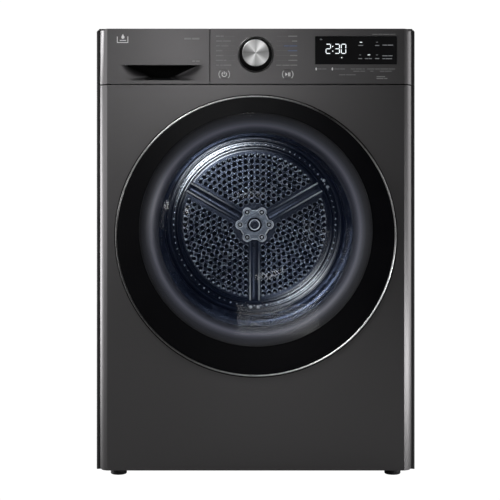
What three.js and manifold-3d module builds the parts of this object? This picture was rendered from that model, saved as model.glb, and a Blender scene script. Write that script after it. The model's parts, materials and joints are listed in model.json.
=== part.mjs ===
// A front-loading heat pump clothes dryer, in millimetres.
// +X is to the right of a person who faces the dryer, +Y runs to its back and +Z is up.
// The origin lies on the floor, under the middle of the whole dryer.
import * as THREE from "three";
import { mergeVertices } from "three/addons/utils/BufferGeometryUtils.js";
import Module from "manifold-3d";

const wasm = await Module();
wasm.setup();

// ---- Driving dimensions ----

const GAP = 0.4; // between pieces that touch
const HALF_WIDTH = 300;
const FRONT_Y = -310; // flat face of the front and control panels
const DOOR_FRONT_Y = -345; // foremost point of the domed door
const BACK_Y = 345; // rearmost point, the drain spigot
const REAR_PANEL_Y = 331;
const TOP_Z = 850;
const LID_Z = 826; // lower edge of the top panel
const SIDE_FRONT_Y = -297.2; // front fold of the side panels
const STRIP_BACK_Y = -268.5; // back of the control strip
const BODY_BOTTOM_Z = 13; // lower edge of the cabinet
const SPLIT_Z = 743; // joint between the front panel and the control strip
const STRIP_TOP_Z = 848.5;
const FACE_HALF = 297.5; // half width of the front pieces, inside the side panels
const EDGE_WIDTH = 16; // the rounded edge of a front piece, seen from the front
const EDGE_DEPTH = 11.5; // and how far it falls back
const SHEET = 0.8; // steel sheet of the cabinet and the drum
const FRONT_SHEET = 1.2;
const PLASTIC = 3;

const DOOR_Z = 456; // centre of the door's outline
const DOOR_R = 258.4; // radius of its glass cover
const TRIM_R = 263.4; // radius of the bright ring round it
const GLASS_Z = 468; // centre of the opening, a little above the door's own
const PANEL_HOLE_R = 203;
const TUNNEL_R = 190;
const HINGE_X = 247.4;
const HINGE_Y = -333;
const HINGE_HALF = 43; // half height of the hinge's pocket

const DRUM_Z = 490;
const DRUM_R = 284;
const DRUM_LIP_R = 256;
const DRUM_REAR_Y = 262;
const REAR_PLATE = 1.1; // thickness of the drum's rear plate
const ROUND = 32; // sides of a large round piece
const LIFTER_ANGLES = [30, 150, 270];

const BELT_Y = [24, 34];
const PULLEY_R = 12;
const IDLER_R = 18;
const MOTOR = { x: 165, z: 130 };
const IDLER = { x: 40, z: 165 };
const ARM_PIVOT = { x: 108, z: 142 };
const ROLLER_R = 20;
const ROLLER_ANGLE = 35; // either side of straight down

const TANK_X = [-FACE_HALF, -87.5];
const DIAL = { x: 0, z: 799.5 };
const BUTTONS = { power_button: -59.5, start_button: 60.5 };
const BUTTON_Z = 762;
const BUTTON_R = 9;
const WINDOW = { x: [112.5, 267], z: [781.2, 834.2] };

const FOOT = { x: 263, y: 272 };

// ---- Shapes ----

const rad = THREE.MathUtils.degToRad;

// A closed geometry as a manifold-3d solid, to cut and join with.
function solidOf(geometry) {
  const source = geometry.index ? geometry.toNonIndexed() : geometry;
  const bare = new THREE.BufferGeometry();
  bare.setAttribute("position", source.getAttribute("position"));
  const merged = mergeVertices(bare, 1e-3);
  return new wasm.Manifold(
    new wasm.Mesh({
      numProp: 3,
      vertProperties: merged.attributes.position.array,
      triVerts: new Uint32Array(merged.index.array),
    }),
  );
}

function geometryOf(solid) {
  const mesh = solid.getMesh();
  const geometry = new THREE.BufferGeometry();
  geometry.setAttribute("position", new THREE.BufferAttribute(mesh.vertProperties, 3));
  geometry.setIndex(new THREE.BufferAttribute(mesh.triVerts, 1));
  return geometry;
}

const join = (...pieces) => geometryOf(pieces.map(solidOf).reduce((a, b) => a.add(b)));
const cut = (body, ...tools) =>
  geometryOf(tools.map(solidOf).reduce((a, b) => a.subtract(b), solidOf(body)));
const common = (a, b) => geometryOf(solidOf(a).intersect(solidOf(b)));

function box(x0, x1, y0, y1, z0, z1) {
  const made = new THREE.BoxGeometry(x1 - x0, y1 - y0, z1 - z0);
  return made.translate((x0 + x1) / 2, (y0 + y1) / 2, (z0 + z1) / 2);
}

// A box whose four upright edges, seen along Y, are rounded.
function roundedPlate(x0, x1, z0, z1, radius, y0, y1) {
  const shape = new THREE.Shape();
  shape.moveTo(x0 + radius, z0).lineTo(x1 - radius, z0);
  shape.absarc(x1 - radius, z0 + radius, radius, -Math.PI / 2, 0);
  shape.absarc(x1 - radius, z1 - radius, radius, 0, Math.PI / 2);
  shape.absarc(x0 + radius, z1 - radius, radius, Math.PI / 2, Math.PI);
  shape.absarc(x0 + radius, z0 + radius, radius, Math.PI, 1.5 * Math.PI);
  return alongY(shape, y0, y1);
}

// An outline drawn in X and Y, raised from z0 to z1.
function alongZ(shape, z0, z1) {
  const made = new THREE.ExtrudeGeometry(shape, {
    depth: z1 - z0,
    bevelEnabled: false,
    curveSegments: 4,
  });
  return made.translate(0, 0, z0);
}

// An outline drawn in X and Z, carried from y0 to y1.
function alongY(shape, y0, y1, curveSegments = 4) {
  const made = new THREE.ExtrudeGeometry(shape, {
    depth: y1 - y0,
    bevelEnabled: false,
    curveSegments,
  });
  return made.rotateX(Math.PI / 2).translate(0, y1, 0);
}

const outline = (points) => new THREE.Shape(points.map(([x, y]) => new THREE.Vector2(x, y)));

// A profile of [radius, y] points turned about the line along Y through (x, z).
// It ends on that line or closes on itself.
function turned(profile, x, z, segments = ROUND) {
  const points = profile.map(([r, y]) => new THREE.Vector2(r, y));
  if (THREE.ShapeUtils.area(points) < 0) points.reverse();
  if (profile[0][0] > 0) points.push(points[0].clone());
  return new THREE.LatheGeometry(points, segments).translate(x, 0, z);
}

// The same about an upright axis: [radius, height] points.
function turnedUp(profile, x, y, segments = 16) {
  const points = profile.map(([r, z]) => new THREE.Vector2(r, z));
  if (THREE.ShapeUtils.area(points) < 0) points.reverse();
  if (profile[0][0] > 0) points.push(points[0].clone());
  return new THREE.LatheGeometry(points, segments).rotateX(Math.PI / 2).translate(x, y, 0);
}

const disc = (x, z, r, y0, y1, segments = ROUND) =>
  turned([[0, y0], [r, y0], [r, y1], [0, y1]], x, z, segments);

const ring = (x, z, r0, r1, y0, y1, segments = ROUND) =>
  turned([[r0, y0], [r1, y0], [r1, y1], [r0, y1]], x, z, segments);

const post = (x, y, r, z0, z1, segments = 16) =>
  turnedUp([[0, z0], [r, z0], [r, z1], [0, z1]], x, y, segments);

// A point at an angle from the drum's axis, seen from the front.
const aroundDrum = (degrees, radius) => ({
  x: radius * Math.cos(rad(degrees)),
  z: DRUM_Z + radius * Math.sin(rad(degrees)),
});

const MATERIALS = {
  dark_steel: { color: 0x3c3b3d, roughness: 0.38, metalness: 0.8 },
  graphite_plastic: { color: 0x3b3a3c, roughness: 0.4, metalness: 0.5 },
  top_board: { color: 0x29282a, roughness: 0.5, metalness: 0.1 },
  side_steel: { color: 0x2c2b2d, roughness: 0.45, metalness: 0.6 },
  zinc_steel: { color: 0x9a9da0, roughness: 0.5, metalness: 0.8 },
  stainless: { color: 0xb4b8bc, roughness: 0.25, metalness: 1 },
  bright_trim: { color: 0xd0d0d2, roughness: 0.15, metalness: 1 },
  black_gloss: { color: 0x08080a, roughness: 0.12, metalness: 0 },
  black_plastic: { color: 0x141416, roughness: 0.5, metalness: 0 },
  grey_plastic: { color: 0x55585c, roughness: 0.55, metalness: 0 },
  light_plastic: { color: 0xb8babb, roughness: 0.6, metalness: 0 },
  tinted_glass: { color: 0x10131c, roughness: 0.04, metalness: 0 },
  clear_glass: { color: 0xc8d4e0, roughness: 0.03, metalness: 0 },
  rubber: { color: 0x1a1a1b, roughness: 0.85, metalness: 0 },
  compressor_black: { color: 0x101011, roughness: 0.4, metalness: 0.3 },
  copper: { color: 0xb06a3c, roughness: 0.3, metalness: 1 },
  aluminium: { color: 0xc4c6c8, roughness: 0.35, metalness: 1 },
  dial_metal: { color: 0xd8d8da, roughness: 0.2, metalness: 1 },
  circuit_board: { color: 0x1c4a2c, roughness: 0.6, metalness: 0 },
};
const made = Object.fromEntries(
  Object.entries(MATERIALS).map(([name, look]) => [name, new THREE.MeshStandardMaterial(look)]),
);

const dryer = new THREE.Group();
function add(name, material, geometry) {
  const mesh = new THREE.Mesh(geometry, made[material]);
  mesh.name = name;
  dryer.add(mesh);
}

// ---- Cabinet ----

// The side panels: one sheet each, folded in at the front and the back.
// A post at the front rises beside the control strip.
function sidePanel(side) {
  const [front, back, shoulder] = [SIDE_FRONT_Y, REAR_PANEL_Y - 1, LID_Z - 0.5];
  const at = (inward, y) => [side * (HALF_WIDTH - inward), y];
  const profile = [
    at(0, front + 4.2), at(1.2, front + 1.2), at(4, front), at(13, front),
    at(13, front + SHEET), at(4, front + SHEET), at(SHEET, front + 4.2),
    at(SHEET, back - SHEET), at(16, back - SHEET), at(16, back), at(0, back),
  ];
  const low = alongZ(outline(profile), BODY_BOTTOM_Z + 1, shoulder);
  const postTop = STRIP_TOP_Z - PLASTIC - GAP;
  const high = alongZ(outline(profile), shoulder - 25, postTop);
  const postOnly = box(-HALF_WIDTH - 10, HALF_WIDTH + 10, -300, STRIP_BACK_Y + 0.5, 800, postTop);
  return join(low, common(high, postOnly));
}
add("side_panel_left", "side_steel", sidePanel(-1));
add("side_panel_right", "side_steel", sidePanel(1));

// The top: a shallow lid that drops over the cabinet behind the control strip.
function topPanel() {
  const lid = (inset, z0, z1) => {
    const x = HALF_WIDTH - inset;
    const [y0, y1] = [STRIP_BACK_Y + 1.5 + inset, REAR_PANEL_Y - inset];
    const shape = outline([[-x, y0], [x, y0], [x, y1 - 3], [x - 3, y1], [3 - x, y1], [-x, y1 - 3]]);
    return alongZ(shape, z0, z1);
  };
  const body = join(lid(0, LID_Z, TOP_Z - 3), lid(1.5, TOP_Z - 4, TOP_Z));
  return cut(body, lid(PLASTIC, LID_Z - 6, TOP_Z - 4));
}
add("top_panel", "top_board", topPanel());

// The outline of a front piece from above, between two x values: flat, with a rounded outer edge.
function frontOutline(x0, x1, skin, roundLeft, roundRight) {
  const steps = 6;
  const flat = FACE_HALF - EDGE_WIDTH;
  const edge = (side, inset) => {
    const points = [];
    for (let i = 0; i <= steps; i += 1) {
      const turn = (i / steps) * (Math.PI / 2);
      points.push([
        side * (flat + (EDGE_WIDTH - inset) * Math.sin(turn)),
        FRONT_Y + 1 + EDGE_DEPTH - (EDGE_DEPTH - inset) * Math.cos(turn),
      ]);
    }
    return points;
  };
  const run = (inset) => {
    const left = roundLeft ? edge(-1, inset).reverse() : [];
    const right = roundRight ? edge(1, inset) : [];
    const start = roundLeft ? -flat + 0.8 : x0;
    const end = roundRight ? flat - 0.8 : x1;
    return [...left, [start, FRONT_Y + inset], [end, FRONT_Y + inset], ...right];
  };
  return outline([...run(0), ...run(skin).reverse()]);
}

function frontPanel() {
  const sheet = alongZ(frontOutline(0, 0, FRONT_SHEET, true, true), BODY_BOTTOM_Z, SPLIT_Z - 1);
  const corners = roundedPlate(-FACE_HALF - 1, FACE_HALF + 1, BODY_BOTTOM_Z, SPLIT_Z, 9, -320, -290);
  const latchSlot = box(-228, -214, -320, -300, GLASS_Z - 17, GLASS_Z + 17);
  const opening = disc(0, GLASS_Z, PANEL_HOLE_R, -320, -300);
  return cut(common(sheet, corners), opening, latchSlot);
}
add("front_panel", "dark_steel", frontPanel());

function basePan() {
  const tray = cut(box(-296, 296, -294, 326, 16, 70), box(-292, 292, -290, 322, 20, 71));
  const corners = [-1, 1].flatMap((sx) => [-1, 1].map((sy) => [sx * FOOT.x, sy * FOOT.y]));
  const bosses = corners.map(([x, y]) => post(x, y, 16, 19, 46));
  const bores = corners.map(([x, y]) => post(x, y, 6, 10, 50));
  const rib = box(-40, -36, -291, 323, 19, 50);
  return cut(join(tray, rib, ...bosses), ...bores);
}
add("base_pan", "black_plastic", basePan());

function foot(x, y) {
  const profile = [[0, 0], [12.5, 0], [15.5, 3], [15.5, 8], [12, 12.5], [5.3, 12.5], [5.3, 40], [0, 40]];
  return turnedUp(profile, x, y);
}
add("foot_front_left", "rubber", foot(-FOOT.x, -FOOT.y));
add("foot_front_right", "rubber", foot(FOOT.x, -FOOT.y));
add("foot_rear_left", "rubber", foot(-FOOT.x, FOOT.y));
add("foot_rear_right", "rubber", foot(FOOT.x, FOOT.y));

// The rear panel, with louvres that cool the compressor and holes for the inlet and the drain.
const INLET = { x: 235, z: 770 };
const SPIGOT = { x: 235, z: 700 };
const aroundInlet = (halfX, halfZ, y0, y1) =>
  box(INLET.x - halfX, INLET.x + halfX, y0, y1, INLET.z - halfZ, INLET.z + halfZ);

function rearPanel() {
  const sheet = box(-298, 298, REAR_PANEL_Y, REAR_PANEL_Y + SHEET, BODY_BOTTOM_Z + 1, 825);
  const louvres = [0, 1, 2, 3, 4, 5].map((row) => {
    const z = 70 + row * 18;
    return box(-250, -120, 320, 340, z, z + 7);
  });
  const air = disc(0, DRUM_Z, 60, 320, 340, 24);
  const holes = [
    aroundInlet(15 + GAP, 11.5 + GAP, 320, 340),
    disc(SPIGOT.x, SPIGOT.z, 10, 320, 340, 16),
  ];
  return cut(sheet, air, ...louvres, ...holes);
}
add("rear_panel", "zinc_steel", rearPanel());

// The pressed cover over the hot air duct behind the drum.
function rearDuctCover() {
  const y = REAR_PANEL_Y + SHEET + GAP;
  const outer = [[0, y + 9], [196, y + 9], [208, y + SHEET], [240, y + SHEET]];
  const inner = [[240, y], [207, y], [195, y + 8], [0, y + 8]];
  return turned([...outer, ...inner], 0, DRUM_Z, 32);
}
add("rear_duct_cover", "zinc_steel", rearDuctCover());

// The power inlet: a sunk socket with three blades for the cord's plug.
function powerInlet() {
  const shell = join(
    aroundInlet(22, 15, REAR_PANEL_Y + SHEET + GAP, 340),
    aroundInlet(15, 11.5, 318, 336),
  );
  const blades = [[-7, -2], [0, 3], [7, -2]].map(([dx, dz]) =>
    aroundInlet(1, 2, 320, 331).translate(dx, 0, dz));
  return join(cut(shell, aroundInlet(12.5, 8.5, 321, 341)), ...blades);
}
add("power_inlet", "black_plastic", powerInlet());
add("drain_spigot", "grey_plastic", cut(
  join(
    disc(SPIGOT.x, SPIGOT.z, 20, REAR_PANEL_Y + SHEET + GAP, 335, 24),
    disc(SPIGOT.x, SPIGOT.z, 9, 300, BACK_Y, 16),
  ),
  disc(SPIGOT.x, SPIGOT.z, 6, 290, BACK_Y + 5, 16),
));

// ---- Control strip ----

function fascia(x0, x1, roundLeft, roundRight) {
  const [z0, z1] = [SPLIT_Z + 1, STRIP_TOP_Z];
  const skin = alongZ(frontOutline(x0, x1, PLASTIC, roundLeft, roundRight), z0, z1);
  const wall = HALF_WIDTH - 15.5; // clear of the side panel's fold
  const [inner0, inner1] = [roundLeft ? -wall : x0, roundRight ? wall : x1];
  const frame = cut(
    box(inner0, inner1, FRONT_Y + 2, STRIP_BACK_Y, z0, z1),
    box(inner0 + PLASTIC, inner1 - PLASTIC, FRONT_Y, -260, z0 + PLASTIC, z1 - PLASTIC),
  );
  const edge = HALF_WIDTH - GAP;
  const [lid0, lid1] = [roundLeft ? -edge : x0, roundRight ? edge : x1];
  const lid = box(lid0, lid1, -298, STRIP_BACK_Y, z1 - PLASTIC, z1);
  return join(skin, frame, lid);
}

function controlPanel() {
  const body = fascia(TANK_X[1] + 1.7, FACE_HALF, false, true);
  const holes = Object.values(BUTTONS).map((x) => disc(x, BUTTON_Z, BUTTON_R + GAP, -320, -300, 24));
  const window = box(WINDOW.x[0] - GAP, WINDOW.x[1] + GAP, -320, -300, WINDOW.z[0] - GAP, WINDOW.z[1] + GAP);
  return cut(body, disc(DIAL.x, DIAL.z, 26, -320, -300, 32), window, ...holes);
}
add("control_panel", "graphite_plastic", controlPanel());
add("display_window", "black_gloss", box(...WINDOW.x, FRONT_Y - 0.3, FRONT_Y + 2.5, ...WINDOW.z));
// The control board, with the display's module and a relay on it.
add("control_board", "circuit_board", join(
  box(100, 276, -303, -301, 752, 842),
  box(118, 262, -301.5, -290, 790, 826),
  box(130, 160, -301.5, -284, 756, 780),
));
add("dial_bezel", "black_gloss", turned(
  [[30.6, -310.4], [34.3, -310.4], [34.3, -312], [33, -313.4], [30.6, -313.4]], DIAL.x, DIAL.z, 32));

// The dial: a skirt with a spun metal face, on a stub that passes through the panel.
add("dial_knob", "dial_metal", turned([
  [0, -329], [24.6, -329], [25.6, -330], [26.2, -329.4], [27, -323], [29.6, -311], [22, -311],
  [22, -302], [0, -302],
], DIAL.x, DIAL.z, 32));

for (const [name, x] of Object.entries(BUTTONS)) {
  const profile = [[0, -311], [8, -311], [BUTTON_R, -310.2], [BUTTON_R, -305], [0, -305]];
  add(name, "graphite_plastic", turned(profile, x, BUTTON_Z, 20));
}

// ---- Water tank ----

// The pocket that the fingers pull: a straight lip over a scoop that comes forward to meet the face.
function tankFront() {
  const body = fascia(...TANK_X, true, false);
  const [lipX, lipZ, height] = [-182, 780, 25];
  const pocketShape = [[-73, 0], [73, 0], [38, -19], [29, -height], [-29, -height], [-38, -19]];
  const scoop = (grow, y0, y1) => {
    const shape = pocketShape.map(([x, z]) => [
      lipX + x + grow * Math.sign(x),
      lipZ + grow + z * (1 + (2 * grow) / height),
    ]);
    return alongY(outline(shape), y0, y1);
  };
  const pocket = cut(scoop(PLASTIC, FRONT_Y + 1, -281), scoop(0, -320, -284));
  return cut(join(body, pocket), scoop(0, -320, -284));
}
add("tank_front", "graphite_plastic", tankFront());

function tankBody() {
  const section = (inset) =>
    outline([
      [-283 + inset, 767 + inset], [-104 - inset, 767 + inset],
      [-104 - inset, 822 - inset], [-283 + inset, 822 - inset],
    ]);
  const shell = cut(alongY(section(0), -262, 228), alongY(section(2.5), -259, 225));
  return cut(shell, post(-190, 190, 9, 810, 830, 16));
}
add("tank_body", "light_plastic", join(tankBody(), box(-222, -142, -280.6, -261, 770, 800)));

function tankGuide() {
  const outer = box(-289, -97, -255, 242, 762, 800);
  return cut(outer, box(-285.5, -101.5, -260, 235, 765.5, 801));
}
add("tank_guide", "grey_plastic", tankGuide());

// ---- Front bulkhead, with the tunnel that the laundry goes through ----

const rollers = [-1, 1].map((side) => aroundDrum(270 + side * ROLLER_ANGLE, DRUM_R + ROLLER_R + 1));
const SLOT = { x: 90, y: [-285, -256] };

function frontBulkhead() {
  const plate = roundedPlate(-280, 280, 200, 755, 60, -250, -247);
  const [front, flange] = [FRONT_Y + FRONT_SHEET + GAP, FRONT_Y + FRONT_SHEET + GAP + 2.5];
  const tunnel = turned([
    [TUNNEL_R, front], [212, front], [212, flange], [TUNNEL_R + 3, flange], [TUNNEL_R + 3, -247],
    [TUNNEL_R, -247],
  ], 0, GLASS_Z);
  const drumRing = ring(0, DRUM_Z, DRUM_LIP_R + 3, DRUM_LIP_R + 6, -248, -232);
  const pins = rollers.map(({ x, z }) => disc(x, z, 5, -248, -188, 12));
  const slot = box(-SLOT.x, SLOT.x, ...SLOT.y, 200, 320);
  const wall = cut(join(plate, drumRing, ...pins), disc(0, GLASS_Z, TUNNEL_R + 1.5, -260, -225));
  return cut(join(wall, tunnel), slot);
}
add("front_bulkhead", "grey_plastic", frontBulkhead());
add("door_seal", "rubber", ring(0, GLASS_Z, 194, 201.5, -312.6, -308.9));

// The lint filter stands in a duct under the tunnel and lifts straight up.
add("filter_duct", "black_plastic", cut(
  box(-97, 97, -292, -251, 74, 268),
  box(-92, 92, -288, -255, 78, 270),
));
function lintFilter() {
  const cap = common(
    ring(0, GLASS_Z, TUNNEL_R, TUNNEL_R + 3, -284, -257),
    box(-88, 88, -290, -250, 200, 320),
  );
  const screen = (inset) => box(-82 + inset, 82 - inset, -282 + inset, -260 - inset, 100 + inset, 286);
  const body = cut(screen(0), screen(3), disc(0, GLASS_Z, TUNNEL_R, -300, -240));
  const grip = box(-30, 30, -262, -258, 276, 284);
  return join(cap, body, grip);
}
add("lint_filter", "grey_plastic", lintFilter());

// ---- Drum ----

add("drum_shell", "stainless", turned([
  [DRUM_LIP_R, -240], [DRUM_LIP_R, -229], [DRUM_R, -212], [DRUM_R, 250],
  [DRUM_R - SHEET, 250], [DRUM_R - SHEET, -211.5], [DRUM_LIP_R - SHEET, -228.5], [DRUM_LIP_R - SHEET, -240],
], 0, DRUM_Z));

// The rear plate: a flat middle, a rounded ridge round it and a flared outer part that meets the shell.
function drumRearPlate() {
  const y = DRUM_REAR_Y;
  const front = [[14, y], [179, y], [183, y - 5], [190, y - 5], [195, y], [DRUM_R - 2, y - 22]];
  const back = front.map(([r, at]) => [r, at + REAR_PLATE]).reverse();
  return turned([...front, ...back], 0, DRUM_Z);
}
add("drum_rear_plate", "stainless", drumRearPlate());

// The hub cap inside the drum, which six bolts hold.
function drumHub() {
  const y = DRUM_REAR_Y - GAP;
  const plate = disc(0, DRUM_Z, 43, y - 7, y, 24);
  const nose = disc(0, DRUM_Z, 14, y - 13, y, 16);
  const bolts = [0, 60, 120, 180, 240, 300].map((angle) => {
    const { x, z } = aroundDrum(angle, 34.5);
    return disc(x, z, 5, y - 11, y, 6);
  });
  return join(plate, nose, ...bolts);
}
add("drum_hub", "aluminium", drumHub());

// The spider behind the drum, with the shaft that the rear bearing carries.
function drumSpider() {
  const y = DRUM_REAR_Y + REAR_PLATE + GAP;
  const arms = LIFTER_ANGLES.map((angle) =>
    box(20, 200, y, y + 10, -14, 14).rotateY(-rad(angle)).translate(0, 0, DRUM_Z));
  return join(disc(0, DRUM_Z, 42, y, y + 12, 24), disc(0, DRUM_Z, 12, y, 306, 16), ...arms);
}
add("drum_spider", "aluminium", drumSpider());

// The lifters: three rounded ribs along the drum's wall that carry the laundry up.
LIFTER_ANGLES.forEach((angle, i) => {
  const base = DRUM_R - SHEET - 1.5;
  const section = outline([
    [-34, base - 2.5], [0, base], [34, base - 2.5], [26, base - 22], [13, base - 46], [5, base - 52],
    [-5, base - 52], [-13, base - 46], [-26, base - 22],
  ]);
  const rib = alongY(section, -185, 205);
  add(`lifter_${i + 1}`, "light_plastic", rib.rotateY(-rad(angle - 90)).translate(0, 0, DRUM_Z));
});

// ---- Rear bulkhead, with the drum's bearing ----

function rearBulkhead() {
  const plate = roundedPlate(-284, 284, 205, 780, 60, 284, 285.5);
  const seat = ring(0, DRUM_Z, 22, 27, 280, 298, 16);
  const ways = [30, 90, 150, 210, 270, 330].map((angle) => {
    const { x, z } = aroundDrum(angle, 120);
    return disc(x, z, 42, 270, 300, 12);
  });
  return cut(join(plate, seat), disc(0, DRUM_Z, 22, 270, 310, 16), ...ways);
}
add("rear_bulkhead", "zinc_steel", rearBulkhead());
add("drum_bearing", "zinc_steel", ring(0, DRUM_Z, 12.6, 21.4, 281, 297, 16));

[-1, 1].forEach((side, i) => {
  const { x, z } = rollers[i];
  const name = side < 0 ? "drum_roller_left" : "drum_roller_right";
  add(name, "black_plastic", ring(x, z, 5.6, ROLLER_R, -209, -193, 16));
});

// ---- Drive: motor, belt and tensioner ----

// A closed band that lies round several circles, [x, z, radius, points on it].
function hull(circles, grow) {
  const points = [];
  for (const [x, z, r, steps] of circles) {
    for (let i = 0; i < steps; i += 1) {
      const turn = (i / steps) * 2 * Math.PI;
      points.push([x + (r + grow) * Math.cos(turn), z + (r + grow) * Math.sin(turn)]);
    }
  }
  points.sort((a, b) => a[0] - b[0] || a[1] - b[1]);
  const cross = (o, a, b) => (a[0] - o[0]) * (b[1] - o[1]) - (a[1] - o[1]) * (b[0] - o[0]);
  const half = (list) => {
    const kept = [];
    for (const p of list) {
      while (kept.length > 1 && cross(kept.at(-2), kept.at(-1), p) <= 1e-6) kept.pop();
      kept.push(p);
    }
    kept.pop();
    return kept;
  };
  return outline([...half(points), ...half([...points].reverse())]);
}
const beltRound = [
  [0, DRUM_Z, DRUM_R, 80],
  [MOTOR.x, MOTOR.z, PULLEY_R, 16],
  [IDLER.x, IDLER.z, IDLER_R, 16],
];
add("drive_belt", "rubber", cut(
  alongY(hull(beltRound, 2.6), ...BELT_Y),
  alongY(hull(beltRound, 0.8), BELT_Y[0] - 5, BELT_Y[1] + 5),
));

function motorHousing() {
  const can = cut(disc(MOTOR.x, MOTOR.z, 52, 52, 168, 24), disc(MOTOR.x, MOTOR.z, 41, 58, 162, 24));
  const stands = [76, 136].map((y) =>
    cut(box(MOTOR.x - 46, MOTOR.x + 46, y, y + 6, 21, 100), disc(MOTOR.x, MOTOR.z, 51, 40, 180, 24)));
  const pivot = disc(ARM_PIVOT.x, ARM_PIVOT.z, 6, 38, 60, 16);
  const ear = box(ARM_PIVOT.x - 8, MOTOR.x - 30, 53, 60, ARM_PIVOT.z - 8, ARM_PIVOT.z + 8);
  return cut(join(can, ...stands, ear, pivot), disc(MOTOR.x, MOTOR.z, 6.5, 40, 180, 16));
}
add("motor_housing", "zinc_steel", motorHousing());
add("motor_shaft", "zinc_steel", join(
  disc(MOTOR.x, MOTOR.z, 6, 20, 236, 16),
  disc(MOTOR.x, MOTOR.z, PULLEY_R, BELT_Y[0] - 1, BELT_Y[1] + 1, 16),
  disc(MOTOR.x, MOTOR.z, 36, 75, 145, 16),
));

// The process air fan on the back end of the motor's shaft.
function fanWheel() {
  const blades = [];
  for (let i = 0; i < 12; i += 1) {
    blades.push(box(28, 60, 208, 238, -1, 1).rotateY((i / 12) * 2 * Math.PI).translate(MOTOR.x, 0, MOTOR.z));
  }
  const back = ring(MOTOR.x, MOTOR.z, 5.4, 62, 236.5, 239, 24);
  return join(back, ...blades);
}
add("fan_wheel", "light_plastic", fanWheel());
function fanHousing() {
  const volute = (inset, outletEnd) => join(
    disc(MOTOR.x, MOTOR.z, 74 - inset, 198 + inset, 250 - inset, 24),
    box(MOTOR.x + 10 + inset, MOTOR.x + 74 - inset, 198 + inset, outletEnd, MOTOR.z, 232 - inset),
  );
  return cut(volute(0, 282), volute(4, 290), disc(MOTOR.x, MOTOR.z, 40, 190, 210, 16));
}
add("fan_housing", "black_plastic", fanHousing());

// The tensioner: an arm that swings on the motor's bracket and holds a pulley inside the belt.
function idlerArm() {
  const bar = outline([
    [IDLER.x, IDLER.z - 9], [ARM_PIVOT.x, ARM_PIVOT.z - 10], [ARM_PIVOT.x, ARM_PIVOT.z + 10],
    [IDLER.x, IDLER.z + 9],
  ]);
  const [y0, y1] = [39, 44];
  const pieces = [
    alongY(bar, y0, y1),
    disc(ARM_PIVOT.x, ARM_PIVOT.z, 11, y0, y1, 16),
    disc(IDLER.x, IDLER.z, 9, y0, y1, 16),
    disc(IDLER.x, IDLER.z, 4, BELT_Y[0] - 4, y1, 16),
  ];
  return cut(join(...pieces), disc(ARM_PIVOT.x, ARM_PIVOT.z, 6.6, 30, 50, 16));
}
add("idler_arm", "zinc_steel", idlerArm());
add("idler_pulley", "light_plastic", ring(IDLER.x, IDLER.z, 4.6, IDLER_R, BELT_Y[0] - 1, BELT_Y[1] + 1, 16));

// ---- Heat pump ----

const COMPRESSOR = { x: -180, y: 190 };
add("compressor", "compressor_black", turnedUp([
  [0, 22], [60, 22], [60, 28], [48, 34], [50, 44], [50, 158], [44, 174], [28, 184], [0, 188],
], COMPRESSOR.x, COMPRESSOR.y, 20));

// A finned coil: a comb of thin fins on a spine.
function finnedCoil(x0, x1, y0, y1, z0, z1, count) {
  const pitch = (x1 - x0) / count;
  const points = [[x0, y1], [x0, y0]];
  for (let i = 0; i < count; i += 1) {
    const x = x0 + i * pitch;
    points.push([x + 3, y0], [x + 3, y1 - 8], [x + pitch, y1 - 8], [x + pitch, y0]);
  }
  points.push([x1 + 3, y0], [x1 + 3, y1]);
  return alongZ(outline(points), z0, z1);
}
add("evaporator", "aluminium", finnedCoil(-235, -60, -205, -135, 24, 180, 10));
add("condenser_coil", "aluminium", finnedCoil(-235, -60, -120, 0, 24, 180, 10));

// The pipe that carries the refrigerant from the compressor to the coils.
function refrigerantPipe() {
  const stops = [[-180, 190, 188.5], [-180, 190, 198], [-205, 150, 206], [-250, 80, 204], [-262, 20, 196],
    [-262, -40, 150], [-262, -70, 100], [-241, -72, 96]];
  const path = new THREE.CatmullRomCurve3(stops.map((p) => new THREE.Vector3(...p)));
  const section = new THREE.Shape().absarc(0, 0, 4, 0, 2 * Math.PI);
  return new THREE.ExtrudeGeometry(section, { steps: 20, extrudePath: path, curveSegments: 2 });
}
add("refrigerant_pipe", "copper", refrigerantPipe());
add("drain_pump", "black_plastic", join(
  post(30, 262, 24, 21, 52), post(30, 262, 17, 50, 92), box(30, 72, 256, 268, 28, 40)));

// ---- Door ----

// The door's body: a thick ring behind the glass cover, with pockets for the hinge and the fingers.
function doorFrame() {
  const disk = cut(disc(0, DOOR_Z, DOOR_R, -340.6, -324), disc(0, GLASS_Z, 229, -350, -300));
  const hingePocket = box(211, 280, -339, -310, DOOR_Z - HINGE_HALF, DOOR_Z + HINGE_HALF);
  const grip = box(4 - DOOR_R, -233, -336, -310, DOOR_Z - 60, DOOR_Z + 60);
  return cut(disk, hingePocket, grip);
}
add("door_frame", "black_gloss", doorFrame());
add("door_trim_ring", "bright_trim", turned([
  [DOOR_R + GAP, -331], [TRIM_R, -331], [TRIM_R, -341.4], [TRIM_R - 1.8, -343], [DOOR_R + GAP, -342.4],
], 0, DOOR_Z));
add("door_cover", "tinted_glass", turned([
  [0, DOOR_FRONT_Y], [130, -344.4], [220, -343.2], [DOOR_R, -342], [DOOR_R, -341], [0, -341],
], 0, DOOR_Z));

// The inner frame narrows like a bell towards the bowl, and its flange closes on the seal.
function doorInnerFrame() {
  const bell = [
    [184.6, -290], [186.6, -309], [192, -323], [205, -334], [228, -340.2],
  ];
  const back = [
    [228, -337.4], [207, -331], [196, -322], [194, -315.8], [232, -315.8], [232, -323.6],
    [234.5, -323.6], [234.5, -313.2], [188.6, -313.2], [187.4, -290],
  ];
  const body = turned([...bell, ...back], 0, GLASS_Z);
  return cut(body, box(205, 280, -330, -312, DOOR_Z - HINGE_HALF, DOOR_Z + HINGE_HALF));
}
add("door_inner_frame", "grey_plastic", doorInnerFrame());

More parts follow.
